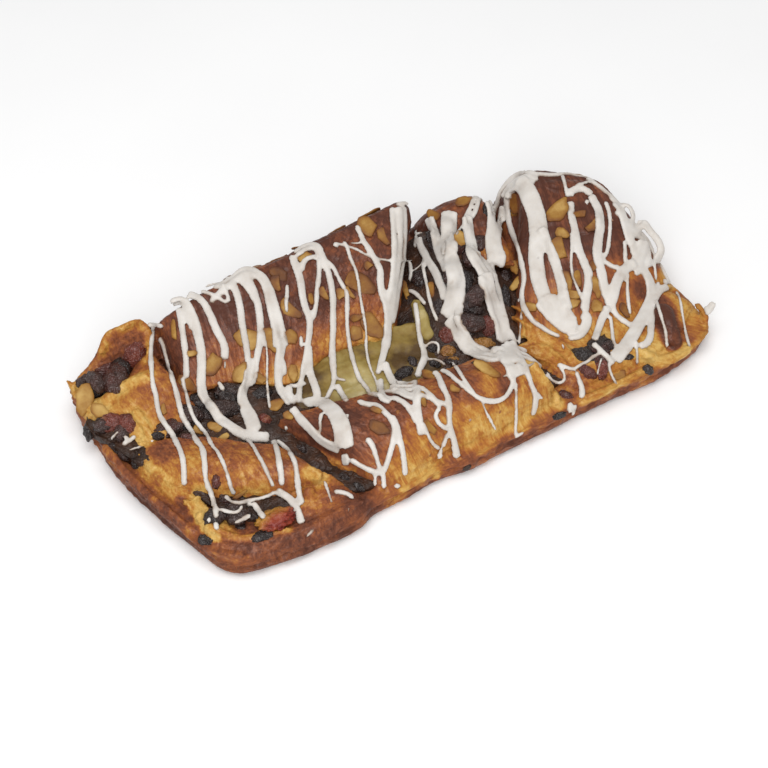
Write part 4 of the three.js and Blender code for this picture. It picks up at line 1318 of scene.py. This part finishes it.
def flake_shape(seed):
    """A pointed slice of length and breadth 1 with a rim value: the first whole, some of the rest broken."""
    top = []
    rim = []
    broken = seed % 5 in (1, 3)
    chipped = seed and seed % 4 in (0, 1)
    broken_at = BROKEN_AT[0] + BROKEN_AT[1] * abs(math.sin(seed * 3.3)) if broken else WHOLE
    chipped_at = CHIPPED_AT[0] + CHIPPED_AT[1] * abs(math.sin(seed * 1.7)) if chipped else WHOLE
    for ring in FLAKE_RINGS[1:]:
        for angle in np.linspace(0, 2 * math.pi, FLAKE_SECTORS, endpoint=False):
            round_about = (math.cos(angle) * 1.7 + seed, math.sin(angle) * 1.7, seed)
            uneven = 1 + FLAKE_UNEVEN * noise.noise(round_about)
            uneven += FLAKE_POINT * max(0, math.cos(angle)) ** 8
            x = min(0.5 * math.cos(angle) * uneven, broken_at + 0.08 * math.sin(angle + seed)) * ring
            y = 0.5 * math.sin(angle) * uneven * (1 - FLAKE_TAPER * math.cos(angle))
            y = min(y, chipped_at + 0.1 * math.cos(angle - seed)) * ring
            top.append((x, y, 0))
            rim.append(ring)
    top = np.array([(0, 0, 0)] + top)
    rim = np.array([0] + rim)
    return top, rim


def flake_faces():
    """Faces of a flake's upper side, its lower side and the edge between them."""
    count = 1 + FLAKE_SECTORS * (len(FLAKE_RINGS) - 1)
    faces = []
    for j in range(FLAKE_SECTORS):
        k = (j + 1) % FLAKE_SECTORS
        upper = [(0, 1 + j, 1 + k)]
        for ring in range(len(FLAKE_RINGS) - 2):
            inner = 1 + ring * FLAKE_SECTORS
            outer = inner + FLAKE_SECTORS
            upper.append((inner + j, outer + j, outer + k, inner + k))
        faces += upper
        faces += [tuple(count + corner for corner in reversed(face)) for face in upper]
        edge = count - FLAKE_SECTORS
        faces.append((edge + j, count + edge + j, count + edge + k, edge + k))
    return faces


def laid_flake(seed, centre, facing, long_axis, length, breadth, lift):
    """One flake lying on a slope with an edge lifted, its rim value and the way across it."""
    top, rim = flake_shape(seed)
    side_axis = facing.cross(long_axis)
    curl = FLAKE_CURL * (0.4 + 0.6 * math.sin(seed * 2.1) ** 2)
    height = 4 * curl * top[:, 0] ** 2 + lift * top[:, 1]
    height += FLAKE_WARP[1] * waviness(top + (seed, 0, 0), FLAKE_WARP[0])
    edge_round = np.where(rim > 0.95, 0.3, 1.0) * FLAKE_THICKNESS / 2
    spread = np.outer(top[:, 0] * length, long_axis) + np.outer(top[:, 1] * breadth, side_axis)
    base = np.array(centre + facing * FLAKE_THICKNESS * 0.6) + spread
    upper = base + np.outer(height + edge_round, facing)
    lower = base + np.outer(height - edge_round, facing)
    return np.vstack([upper, lower]), np.tile(rim, 2), np.tile(top[:, 0] + top[:, 1], 2)


flake_skins = []
flake_rims = []
flake_toast = []
draw = seeded_draw(23)
one_flake_faces = flake_faces()


def sunk_under(points, most):
    """How far most of a flake lies under what it rests on, along the sight lines, up to a limit."""
    depths = []
    for point in points[::4]:
        line = Vector(point) - eye
        hit = ground.ray_cast(eye, line.normalized())
        depths.append(0 if hit[0] is None else max(0, line.length - hit[3]))
    return min(np.percentile(depths, 75), most)


def add_flake(centre, facing, long_axis, length, breadth, toast, most_lift=FLAKE_LIFT):
    """Lays one more flake, lifted towards the viewer where it would sink in."""
    seed = len(flake_skins)
    lift = FLAKE_LIFTED_EDGE * (next(draw) - 0.5)
    flake, rim, across = laid_flake(seed, centre, facing, long_axis, length, breadth, lift)
    if facing.dot(towards_viewer) > 0:
        flake = flake + np.array(towards_viewer) * sunk_under(flake[:len(rim) // 2], most_lift)
    flake_skins.append((flake, one_flake_faces))
    flake_rims.append(rim)
    flake_toast.append(toast + FLAKE_SHADING * math.sin(seed * 2.7) * across)


ground = landing_tree(*map(skin_of, (dough, paste, custard, raisins)))
propped_flakes = [(*row, PROPPED_TILT, PROPPED_LIFT) for row in FLAKES_PROPPED]
lying_flakes = [(*row, FLAKE_TILT, FLAKE_LIFT) for row in FLAKES_SEEN]
for x, y, length, breadth, slant, toast, tilt, most_lift in propped_flakes + lying_flakes:
    rest = resting_plane(ground, pixel_rays(x, y, 4))
    if rest is None:
        continue
    centre, facing = rest
    facing = (facing + towards_viewer * tilt).normalized()
    heading = slanted(slant)
    aside = facing.cross(heading).normalized()
    long_axis = aside.cross(facing)
    span = pixel_span(centre)
    long_seen = max(FLAKE_LEAST_SEEN, (long_axis - towards_viewer * long_axis.dot(towards_viewer)).length)
    aside_seen = max(FLAKE_LEAST_SEEN, (aside - towards_viewer * aside.dot(towards_viewer)).length)
    flake_length = min(length * span / long_seen, FLAKE_LONGEST)
    flake_breadth = min(breadth * span / aside_seen, FLAKE_LONGEST * FLAKE_STOUTEST)
    add_flake(centre, facing, long_axis, flake_length, flake_breadth, toast, most_lift)

golden_share = (math.sqrt(5) - 1) / 2
for name, count, reach, (low, high) in FLAKES_BEHIND:
    _, rings, shares, stages, _ = next(row for row in fold_data if row[0] == name)
    for i in range(count):
        ring = rings[int(between(*reach, (i * golden_share + 0.3) % 1) * (len(shares) - 1))]
        stage_here = between(low, high, next(draw))
        mark = np.array([np.interp(stage_here, stages, ring[:, c]) for c in range(3)])
        found = ground.find_nearest(Vector(framed(mark)))
        facing = found[1]
        turn = 2 * math.pi * next(draw)
        heading = Vector((math.cos(turn), math.sin(turn), 0))
        long_axis = (heading - facing * heading.dot(facing)).normalized()
        size = 0.7 + 0.35 * next(draw)
        toast = 0.3 + 0.5 * next(draw)
        add_flake(found[0], facing, long_axis, FLAKE_LENGTH * size, FLAKE_BREADTH * size, toast)
flakes = mesh_piece("almond_flakes", *joined_skins(flake_skins))
keep_value(flakes.data, "rim", np.concatenate(flake_rims))
keep_value(flakes.data, "toast", np.concatenate(flake_toast))

FLAKE_TONES = [(0.0, (188, 152, 86)), (0.35, (152, 109, 47)), (0.65, (126, 80, 36)), (1.0, (92, 54, 31))]
flake_finish, tree, shader = new_finish("toasted_almond")
patches, specks = mottled(tree, 130.0, 900.0)
toast = varied(tree, stored(tree, "toast"), patches, 0.22)
toast = blend_value(tree, "ADD", toast, rescaled(tree, stored(tree, "rim"), 0.6, 1.0, -0.06, 0.2))
colour_by(tree, shader, toast, FLAKE_TONES)
roughness_by(tree, shader, specks, 0.4, 0.6)
shader.inputs["Specular IOR Level"].default_value = 0.25
tree.links.new(bumped(tree, specks, 0.15 * MM), shader.inputs["Normal"])
flakes.data.materials.append(flake_finish)
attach(flakes, "root")
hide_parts("pastry")

# The icing: thick white sugar icing, trailed from a spoon back and forth across the strip once it had
# cooled, so that it drapes over the folds, pools in the valley, and sets with round edges.
ICING_SPREAD = 1.14
THREAD_PIXELS = 5.5
RIBBON_PIXELS = 11
THREAD_SPAN = (3, 1)
RIBBON_SPAN = (7, 5)
ICING_JUMP = 26 * MM
ICING_SUNK = 0.5 * MM
ICING_END = 0.2
ICING_BACK = (9 * MM, 20 * MM)
ICING_ROUND = 0.42
ICING_DEPTH = 0.85 * MM
ICING_BULGE = 0.08
RIBBON_END = 0.45
# A strand whose start or end faces away by this much goes on over the crown.
CREST_FACING = (0.5, 0.3)
SHORTEST_CREST = 6
TRAIL_STEP = 0.4
TRAIL_DROP = 6 * MM
HIGH_ABOVE = 0.1
ICING_VOXEL = 0.6 * MM
ICING_TRIANGLES = 190000
ICING_ROUNDS = 6
ICING_RIPPLE = (5 * MM, 0.15 * MM)
# Each strand: its width in pixels where it starts and ends, and the pixels that it passes through.
STRANDS_LEFT = [
    (6, 6, (147, 325), (156, 325), (164, 327)),
    (4.5, 6, (153, 325), (152, 336), (151, 346), (151, 360), (153, 385), (156, 395), (157, 405), (161, 418),
     (171, 432), (175, 440), (180, 450), (183, 460), (184, 470), (184.5, 486)),
    (5.5, 5.5, (159, 338), (163, 343), (166, 355), (171, 375), (177, 395), (181, 412), (186, 423), (192, 432),
     (196, 440), (202, 448), (204.5, 460), (206, 480), (210, 490), (213, 500), (215.5, 510), (216, 519)),
    (5.5, 5.5, (215.5, 521), (217, 531)),
    (7, 6, (178, 308), (180, 313), (182, 328), (184, 342), (186, 357), (186.5, 370), (186.5, 379)),
    (4.5, 4, (186, 393), (188, 402), (191, 411), (195, 420), (204, 431), (208, 437), (211, 444), (217, 451),
     (222, 460), (226, 470), (229, 480), (232, 490), (235, 495)),
    (9, 10, (171, 305), (176, 301), (183, 301), (189, 308), (194, 320), (197, 330), (199, 340), (201, 350),
     (202, 372), (201, 385), (203, 396), (208, 403), (214, 410), (220, 419), (230, 426), (238, 432),
     (250, 437), (262, 437), (271, 438)),
    (5, 5, (180, 310), (187, 318), (193, 330)),
    (4.5, 4, (246, 438), (253, 446), (258, 455), (262, 462), (266, 470), (270, 479), (274, 487)),
    (4.5, 4.5, (218, 381), (224, 391)),
    (6, 6, (184, 294), (192, 292), (200, 291)),
    (7, 8, (188, 294), (197, 297), (204, 303), (209, 312), (213, 322), (218, 333), (223, 342), (225, 348),
     (224.5, 360)),
    (2.5, 2.5, (225, 360), (225, 370)),
    (4, 4, (200, 291), (208, 293), (217, 297), (223, 301), (228, 303)),
    (4.5, 4.5, (222, 283), (225, 289), (228, 297), (229, 303)),
    (3, 3, (205, 287), (213, 284), (222, 283), (230, 281)),
    (13, 14, (234, 282), (243, 274), (250, 273), (257, 278)),
    (8, 6, (232, 283), (236, 292), (239, 302), (241, 315), (243, 330), (246, 345), (248, 365), (246, 383)),
    (6, 15, (248, 368), (246, 383), (242, 392), (244, 405), (250, 417), (256, 433)),
    (8, 6, (246, 277), (252, 288), (256, 298), (259, 310), (260, 325), (260, 340), (257, 358), (254, 379),
     (249, 386)),
    (4, 4, (240, 281), (245, 287), (251, 294), (254, 302)),
    (9, 15, (255, 273), (263, 279), (268, 289), (271, 300), (275, 315), (278, 328), (280, 340), (281, 349)),
    (10, 6, (280, 336), (281, 349), (279, 362), (278, 380), (280, 389), (285, 398), (291, 406)),
    (8, 10, (291, 406), (298, 416), (305, 424), (313, 432), (321, 440), (332, 446), (342, 450)),
    (4, 4, (282, 356), (285, 367), (285, 376)),
    (3, 3, (262, 320), (264, 335), (267, 352), (267, 380), (268, 395), (270, 409)),
    (4, 4, (287, 284), (287, 295), (286, 303), (287, 313)),
]
STRANDS_MIDDLE = [
    (9, 9, (294, 256), (303, 249), (313, 246), (319, 249), (320, 256)),
    (8.5, 5, (293, 254), (294, 262), (298, 272), (301, 283), (303, 300), (306, 310), (310, 321), (309, 335),
     (307, 350), (303, 372), (300, 385), (298, 400)),
    (5, 5, (302, 272), (303, 264), (306, 259), (312, 257), (318, 257)),
    (5, 5, (319, 258), (319, 275), (317, 290), (316, 305), (312, 321)),
    (8, 8, (308, 345), (309, 365), (311, 375), (315, 387), (318, 398)),
    (4, 4, (301, 335), (301, 348)),
    (5, 5, (307, 383), (297, 386), (288, 386)),
    (7, 7, (288, 385), (290, 395), (295, 405)),
    (5, 5, (300, 387), (299, 404)),
    (9, 19, (303, 404), (308, 402), (317, 402), (325, 404), (332, 410), (338, 418), (342, 428), (344, 440),
     (343, 449)),
    (8, 7, (345, 453), (346, 466)),
    (4, 4, (322, 412), (320, 422), (321, 432)),
    (7, 6, (321, 252), (324, 262), (328, 272), (331, 285), (333, 300), (333, 320), (333, 335), (332, 350),
     (334, 375)),
    (5, 5, (332, 352), (334, 374), (333, 385), (329, 394), (326, 400)),
    (3.5, 3.5, (335, 378), (347, 381)),
    (6, 6, (336, 384), (342, 394), (347, 402)),
    (4.5, 5, (326, 260), (333, 267), (338, 277), (343, 287), (347, 295), (347, 320), (348, 335), (350, 348),
     (353, 360), (356, 370), (360, 380), (366, 387), (371, 396)),
    (4, 2.5, (343, 241), (347, 247), (350, 258), (355, 268), (358, 280), (360, 295), (362, 307), (366, 330),
     (366, 345), (368, 360), (372, 372), (376, 381), (378, 392)),
    (6, 5, (334, 242), (338, 248)),
    (3, 3, (336, 243), (342, 245), (350, 247), (358, 250), (366, 255), (375, 258), (385, 260), (405, 261),
     (413, 260)),
    (2.5, 2.5, (349, 243), (355, 243), (359, 244), (363, 241)),
    (5, 9, (356, 224), (360, 233), (364, 242), (370, 251), (375, 260), (380, 270), (380, 282), (382, 293),
     (386, 303), (388, 312), (388, 325), (387, 340), (385, 350)),
    (9, 5, (387, 330), (387, 340), (385, 350), (382, 360), (380, 367), (377, 376)),
    (6, 6, (392, 207), (393, 225), (394, 240), (394, 255), (393, 270), (392, 282), (388, 303)),
    (12, 8, (400, 205), (402, 220), (402, 245), (401, 260), (399, 272), (397, 285), (395, 300), (393, 312),
     (390, 325)),
    (8, 7, (384, 362), (389, 375), (393, 382), (394, 392)),
    (4, 4, (410, 262), (411, 272), (410, 282)),
    (2.5, 2.5, (413, 271), (419, 267), (423, 263), (424, 256)),
    (4.5, 4.5, (408, 290), (415, 293), (421, 299), (426, 305)),
    (5, 7, (415, 302), (417, 315), (419, 330), (421, 343), (424, 352), (424, 360), (420, 368), (417, 378)),
    (3, 3, (425, 348), (429, 343), (436, 342), (439, 346), (438, 355)),
    (3, 3, (426, 360), (433, 359), (440, 361), (446, 366)),
    (11, 13, (390, 386), (400, 387), (410, 387), (418, 386)),
    (8, 8, (398, 390), (408, 396), (416, 398)),
    (6, 6, (381, 378), (381, 390), (384, 398)),
    (5, 6, (378, 393), (386, 402), (391, 402)),
    (8, 8, (417, 385), (417, 395), (417, 405), (418, 415), (420, 425), (421, 436)),
    (6, 6, (392, 397), (403, 402), (409, 408), (413, 416), (417, 424)),
    (6, 6, (420, 387), (428, 393), (434, 400), (441, 407)),
    (4, 4, (422, 422), (426, 430), (429, 438), (434, 445), (440, 449)),
    (11, 11, (436, 452), (440, 454), (444, 454)),
    (5, 5, (448, 432), (445, 440), (442, 448)),
    (6, 7, (433, 371), (438, 376), (441, 383), (444, 390), (448, 398), (449, 407), (449, 418), (450, 428),
     (453, 438), (455, 447), (457, 459)),
    (4.5, 4.5, (441, 407), (435, 414), (437, 421), (443, 427), (449, 429)),
    (5, 5.5, (440, 370), (448, 373), (456, 380), (464, 387), (471, 393), (479, 398), (487, 401), (497, 401),
     (505, 397), (511, 388), (514, 377)),
    (4, 4, (452, 362), (458, 370), (463, 378), (470, 388), (475, 394)),
    (3, 3, (482, 403), (486, 412), (491, 421), (496, 431)),
    (6, 6, (357, 401), (368, 405), (376, 405), (383, 411), (390, 417), (394, 426), (394, 436), (392, 446),
     (386, 466), (381, 473), (370, 470), (360, 465), (350, 459)),
    (6, 6, (391, 415), (397, 426), (399, 437), (402, 450), (404, 462), (405, 476)),
    (6, 5, (366, 438), (371, 443), (374, 450), (377, 460), (380, 470)),
    (4, 4, (375, 473), (375, 487)),
    (5, 5, (383, 473), (384, 489)),
    (5, 5, (393, 486), (401, 486)),
]
STRANDS_GAP = [
    (9, 8, (394, 204), (402, 202), (410, 202)),
    (4, 4, (416, 230), (416, 238), (415, 248)),
    (10, 10, (428, 216), (432, 225), (436, 238), (439, 250), (444, 262), (449, 272)),
    (15, 15, (449, 210), (449, 222), (449, 240), (450, 256)),
    (14, 21, (450, 252), (453, 266), (456, 280), (456, 295), (453, 308), (450, 320)),
    (7, 9, (418, 236), (421, 247), (427, 258), (433, 268), (438, 278), (443, 290), (446, 302)),
    (16, 14, (450, 316), (457, 328), (463, 338), (470, 348), (485, 355), (500, 357)),
    (3, 3, (414, 234), (423, 233)),
    (3, 3, (437, 246), (446, 241), (455, 236), (459, 230), (464, 224)),
    (4, 4, (423, 262), (424, 272), (427, 285), (429, 297), (433, 310), (438, 322)),
    (4.5, 4.5, (475, 196), (472, 203), (468, 213), (464, 222)),
    (4.5, 4.5, (479, 198), (476, 210), (470, 220), (462, 228)),
    (9, 16, (467, 214), (468, 228), (470, 240), (472, 250), (477, 260), (483, 268), (488, 278)),
    (20, 14, (487, 272), (489, 283), (493, 296), (496, 308), (500, 320), (503, 332), (504, 344)),
    (8, 8, (488, 200), (491, 212), (491, 225), (489, 240), (490, 252), (492, 264)),
    (8, 11, (504, 204), (502, 217), (498, 228), (496, 240), (498, 250), (501, 258), (497, 268)),
    (5, 5, (509, 329), (514, 340), (516, 350)),
    (22, 20, (502, 344), (508, 352), (514, 364)),
    (13, 12, (512, 351), (520, 353), (527, 356)),
    (12, 11, (514, 364), (518, 370), (521, 378)),
    (9, 8, (508, 364), (511, 374), (513, 382)),
    (6, 6.5, (523, 366), (528, 375), (531, 385), (535, 393), (535, 405), (532, 416)),
    (4, 3, (536, 392), (543, 400)),
    (3.5, 3.5, (516, 382), (516, 400), (516, 420), (515, 437)),
    (3.5, 3.5, (514, 438), (524, 432)),
]
STRANDS_RIGHT = [
    (13, 15, (502, 198), (507, 190), (514, 183), (522, 178), (530, 177), (538, 181)),
    (4.5, 4.5, (536, 174), (546, 175), (556, 175), (566, 174), (576, 176)),
    (6, 5, (506, 196), (508, 210), (509, 222), (512, 232), (516, 242), (520, 254), (522, 265), (524, 273),
     (524, 282), (522, 293), (523, 305), (527, 313), (533, 321), (541, 327), (549, 332), (560, 337)),
    (17, 17, (517, 180), (525, 188), (532, 202), (537, 218), (539, 235), (540, 246)),
    (15, 14, (538, 226), (537, 240), (536, 260), (540, 285), (547, 303)),
    (9, 11, (540, 226), (549, 246), (556, 265), (561, 282), (564, 298), (569, 312)),
    (22, 20, (543, 296), (550, 307), (559, 316), (568, 323), (578, 322)),
    (10, 9, (580, 313), (587, 317), (585, 327), (579, 335), (566, 337)),
    (4, 4, (562, 175), (564, 181), (566, 190), (568, 198)),
    (7, 7, (569, 197), (572, 191), (579, 188.5), (586, 190), (592, 196)),
    (7, 9, (570, 200), (571, 210), (572, 218), (575, 230), (577, 243), (580, 253), (584, 263), (588, 272),
     (588, 285), (586, 300), (584, 313)),
    (3.5, 3.5, (571, 232), (572, 245), (571, 260), (572, 272), (575, 282), (579, 292), (583, 302)),
    (8, 10, (590, 194), (594, 202), (599, 212), (600, 225), (599, 237), (597, 250), (598, 262), (601, 272),
     (603, 285), (607, 295), (611, 304)),
    (4, 4, (605, 201), (609, 212), (610, 225), (609, 240), (607, 252), (602, 260)),
    (5, 5, (602, 260), (608, 264), (614, 268), (620, 267)),
    (8, 9, (613, 201), (619, 207), (623, 217), (626, 228), (629, 238), (633, 246), (636, 256)),
    (6, 6, (624, 203), (631, 209), (633, 217), (631, 227), (632, 240), (633, 256)),
    (13, 12, (632, 226), (640, 233), (648, 242), (652, 253)),
    (7, 7, (640, 236), (646, 246), (648, 258), (646, 268)),
    (5, 5, (637, 222), (640, 228), (644, 236), (650, 242)),
    (4, 4, (634, 235), (640, 240)),
    (12, 12, (644, 238), (641, 250), (637, 262), (632, 268)),
    (4.5, 4.5, (624, 240), (625, 250), (625, 264)),
    (10, 11, (637, 262), (630, 266), (624, 270), (619, 277), (615, 287), (612, 298), (608, 308)),
    (8, 9, (630, 238), (637, 231), (640, 224), (644, 222), (648, 229), (654, 236), (659, 243), (661, 252),
     (655, 263)),
    (8, 14, (640, 266), (646, 274), (650, 283), (651, 293), (649, 303), (644, 313), (640, 322), (634, 333),
     (628, 343), (621, 352), (613, 361)),
    (3, 3, (652, 246), (654, 258), (655, 270), (656, 281)),
    (8, 8, (665, 278), (668, 286)),
    (7, 7, (668, 286), (660, 291), (655, 300), (652, 312), (651, 325), (650, 338), (645, 345), (638, 346)),
    (10, 9, (653, 284), (660, 288)),
    (3.5, 3.5, (656, 300), (660, 312), (663, 322), (666, 333), (667, 348)),
    (3, 3, (676, 291), (680, 300), (682, 312), (684, 325), (687, 338), (690, 348)),
    (9, 7, (703, 313), (708, 311), (711, 306), (715, 301)),
    (4, 4, (628, 273), (627, 287), (628, 300), (630, 315)),
    (8, 7, (608, 306), (602, 319), (598, 330), (594, 341)),
    (4, 4, (610, 315), (612, 330), (613, 340), (616, 349)),
    (6, 6, (612, 304), (615, 314), (622, 320), (630, 325), (636, 331)),
    (3.5, 3.5, (636, 340), (637, 355), (637, 365)),
    (6, 6, (592, 343), (600, 350), (608, 358), (614, 364)),
    (2.5, 2.5, (602, 357), (599, 367), (597, 376)),
    (3.5, 3, (608, 362), (610, 372), (613, 378), (617, 385)),
    (3.5, 3.5, (547, 372), (551, 380), (558, 383), (564, 382), (565, 376), (561, 368), (557, 364)),
    (4, 4, (557, 364), (566, 367), (573, 370), (580, 365)),
    (5, 6, (576, 371), (579, 380), (582, 388), (582, 399)),
    (2.5, 2.5, (534, 362), (548, 368)),
    (3, 3, (562, 343), (564, 350)),
    (3, 3, (520, 333), (519, 345)),
    (6, 6, (571, 402), (569, 413)),
    (4, 4, (576, 404), (572, 416)),
    (3, 3, (575, 185), (585, 183), (590, 181), (596, 186)),
]
STRANDS_NEAR_LEFT = [
    (4.5, 4.5, (225, 495), (228, 499), (234, 503), (242, 503), (247, 501), (258, 499), (268, 496),
     (276, 491)),
    (4, 4, (219, 509), (226, 511), (236, 513), (241, 509), (242, 505)),
    (4.5, 4.5, (234, 523), (251, 515)),
    (6, 6, (253, 502), (258, 510), (265, 519)),
    (7, 6, (249, 502), (247, 507)),
    (6, 6, (273, 440), (277, 450), (279, 462), (281, 475), (282, 486)),
    (5, 6, (276, 440), (284, 446), (290, 453), (295, 463), (297, 475), (298, 487), (301, 500), (303, 505)),
    (8, 8, (276, 490), (283, 494), (290, 499), (296, 508), (300, 518), (302, 524)),
    (3, 3, (324, 480), (328, 491), (332, 504)),
    (5, 5, (333, 492), (340, 492), (348, 494), (354, 499)),
    (2.5, 2.5, (349, 507), (348, 512)),
    (4, 4, (306, 537), (314, 529)),
    (3.5, 3.5, (110.5, 440), (114, 436), (119, 431)),
    (4, 4, (123, 436.5), (129, 438.5)),
    (5, 5.5, (136, 435), (131, 440), (122, 445)),
    (2.5, 2.5, (128, 450.5), (143, 446)),
]
STRANDS = STRANDS_LEFT + STRANDS_MIDDLE + STRANDS_GAP + STRANDS_RIGHT + STRANDS_NEAR_LEFT

ground = landing_tree(*map(skin_of, (dough, paste, custard, raisins, red_fruit, flakes)))
down = Vector((0, 0, -1))


def unbroken(spots):
    """Splits a strand where it passes behind an edge, so that each run lies on one surface."""
    if not spots:
        return []
    runs = [[spots[0]]]
    for before, spot in zip(spots, spots[1:]):
        if (spot[0] - before[0]).length > ICING_JUMP:
            runs.append([])
        runs[-1].append(spot)
    return [run for run in runs if len(run) > 2]


def over_the_edge(spot, heading, reach):
    """Carries a strand on over a crown and down its far side."""
    heading = Vector((heading.x, heading.y, 0)).normalized()
    trail = [spot]
    travelled = 0
    position = spot[0].copy()
    while travelled < reach:
        position = position + heading * TRAIL_STEP * MM
        hit = ground.ray_cast(Vector((position.x, position.y, HIGH_ABOVE)), down)
        if hit[0] is None or trail[-1][0].z - hit[0].z > TRAIL_DROP:
            break
        travelled += (hit[0] - trail[-1][0]).length
        trail.append((hit[0], hit[1]))
    return trail[1:]


def side_by_side(line, breadth):
    """Splits a broad ribbon into narrow threads, each a row of pixels and their widths."""
    widest = breadth.max()
    count = max(1, round(widest / THREAD_PIXELS))
    ahead = np.gradient(line, axis=0)
    aside = np.column_stack([-ahead[:, 1], ahead[:, 0]]) / np.linalg.norm(ahead, axis=1)[:, None]
    thread = breadth if count == 1 else breadth * 2 / (count + 1)
    for offset in np.linspace(-1, 1, count) if count > 1 else [0.0]:
        trim = int((1 - math.sqrt(1 - RIBBON_END * offset * offset)) * widest / 2 / TRACE_STEP)
        trim = min(trim, len(line) // 3)
        kept = slice(trim, len(line) - trim)
        yield (line + aside * (offset * (breadth - thread) / 2)[:, None])[kept], thread[kept]


draw = seeded_draw(61)
icing_skins = []
for start_width, end_width, *pixels in STRANDS:
    line = traced(pixels)
    breadth = np.linspace(start_width, end_width, len(line)) * ICING_SPREAD
    stiffness = RIBBON_SPAN if breadth.max() > RIBBON_PIXELS else THREAD_SPAN
    for thread, thread_width in side_by_side(line, breadth):
        spots = landed(ground, thread.tolist(), *stiffness)
        done = 0
        for run in unbroken(spots):
            width_range = np.interp([done, done + len(run)], np.arange(len(spots)), thread_width)
            done += len(run)
            reach = between(*ICING_BACK, next(draw))
            if run[0][1].dot(towards_viewer) < CREST_FACING[0] and len(run) > SHORTEST_CREST:
                run = over_the_edge(run[0], run[0][0] - run[4][0], reach)[::-1] + run
            if run[-1][1].dot(towards_viewer) < CREST_FACING[1] and len(run) > SHORTEST_CREST:
                run = run + over_the_edge(run[-1], run[-1][0] - run[-5][0], reach)
            path, facing = evenly_spaced(run, STRAND_STEP)
            widths = np.linspace(*width_range, len(path)) * pixel_span(run[0][0])
            heights = np.minimum(ICING_ROUND * widths, ICING_DEPTH + ICING_BULGE * widths)
            icing_skins.append(
                strand_skin(path, facing, widths, heights, ICING_SUNK, len(icing_skins), ICING_END))
icing = mesh_piece("icing", *joined_skins(icing_skins))
with_modifier(icing, "REMESH", mode="VOXEL", voxel_size=ICING_VOXEL)
set_points(icing.data, settled(icing.data, ICING_ROUNDS))
roughened(icing, ICING_RIPPLE)
thinned(icing, ICING_TRIANGLES)

above_ground = np.array([ground.find_nearest(point)[3] for point in points_of(icing.data).tolist()])
keep_value(icing.data, "depth", relaxed(icing.data, above_ground / MM, 2))
ICING_TONES = [
    (0.0, (146, 126, 108)), (0.35, (186, 174, 163)), (0.6, (203, 196, 188)), (1.0, (219, 214, 208)),
]
icing_finish, tree, shader = new_finish("sugar_icing")
patches, specks = mottled(tree, 90.0, 700.0)
cover = rescaled(tree, stored(tree, "depth"), 0.2, 0.9, 0.1, 0.7)
colour_by(tree, shader, varied(tree, cover, patches, 0.25), ICING_TONES)
roughness_by(tree, shader, specks, 0.4, 0.55)
shader.inputs["Subsurface Weight"].default_value = 0.12
shader.inputs["Subsurface Radius"].default_value = (0.002, 0.0018, 0.0015)
tree.links.new(bumped(tree, specks, 0.12 * MM, 0.5), shader.inputs["Normal"])
icing.data.materials.append(icing_finish)
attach(icing, "root")
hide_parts("pastry")

# The crumbs: specks of icing and bits of crust and fruit that broke off as the strip was handled. They
# lie where they fell, on the folds and at the foot of the strip.
CRUMB_SHAPE = (1.2, 0.9, 0.7)
CRUMB_WRINKLE = 0.5
CRUMB_SEED = 90
CRUMB_TONES = [(0.0, (52, 36, 28)), (0.5, (150, 92, 44)), (1.0, (212, 206, 198))]
# Crumbs that show from the viewpoint: pixel across and down, size in pixels, and the tone on that scale.
CRUMBS_SEEN = [
    (209, 520, 4, 1.0), (587, 202, 5, 1.0), (347, 416, 4, 1.0), (466, 468, 8, 0.0), (286, 428, 4, 1.0),
    (152, 441, 3, 1.0), (398, 412, 4, 0.5), (470, 420, 3, 0.6), (331, 441, 3, 0.5), (253, 447, 3, 0.5),
    (519, 300, 3, 1.0), (604, 296, 3, 0.5), (352, 264, 3, 0.5), (310, 356, 3, 0.6), (168, 367, 3, 0.5),
    (500, 412, 3, 0.5), (232, 470, 3, 0.5), (612, 220, 3, 0.6), (275, 330, 3, 0.6), (430, 455, 3, 0.5),
]
crumb_ball, crumb_faces = ball_shape(2)
crumb_skins = []
crumb_tone = []
ground = landing_tree(*map(skin_of, (dough, paste, custard, raisins, flakes)))
for x, y, size, tone in CRUMBS_SEEN:
    rest = resting_plane(ground, pixel_rays(x, y, 2))
    if rest is None:
        continue
    centre, facing = rest
    radius = size * pixel_span(centre) / 2
    axes = (facing.orthogonal(), facing.cross(facing.orthogonal()), facing)
    halves = [share * radius for share in CRUMB_SHAPE]
    shape = wrinkled(crumb_ball, len(crumb_skins) + CRUMB_SEED, CRUMB_WRINKLE)
    crumb_skins.append((set_out(shape, centre, axes, halves), crumb_faces))
    crumb_tone.append(tone)
crumbs = mesh_piece("crumbs", *joined_skins(crumb_skins))
crumb_points = points_of(crumbs.data)
crumb_points[:, 2] = np.maximum(crumb_points[:, 2], 0)
set_points(crumbs.data, crumb_points)
keep_value(crumbs.data, "tone", np.repeat(crumb_tone, len(crumb_ball)))
crumb_finish, tree, shader = new_finish("crumb_mix")
patches, specks = mottled(tree, 300.0, 1500.0)
colour_by(tree, shader, varied(tree, stored(tree, "tone"), patches, 0.08), CRUMB_TONES)
roughness_by(tree, shader, specks, 0.5, 0.75)
tree.links.new(bumped(tree, specks, 0.2 * MM), shader.inputs["Normal"])
crumbs.data.materials.append(crumb_finish)
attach(crumbs, "root")
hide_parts("pastry")
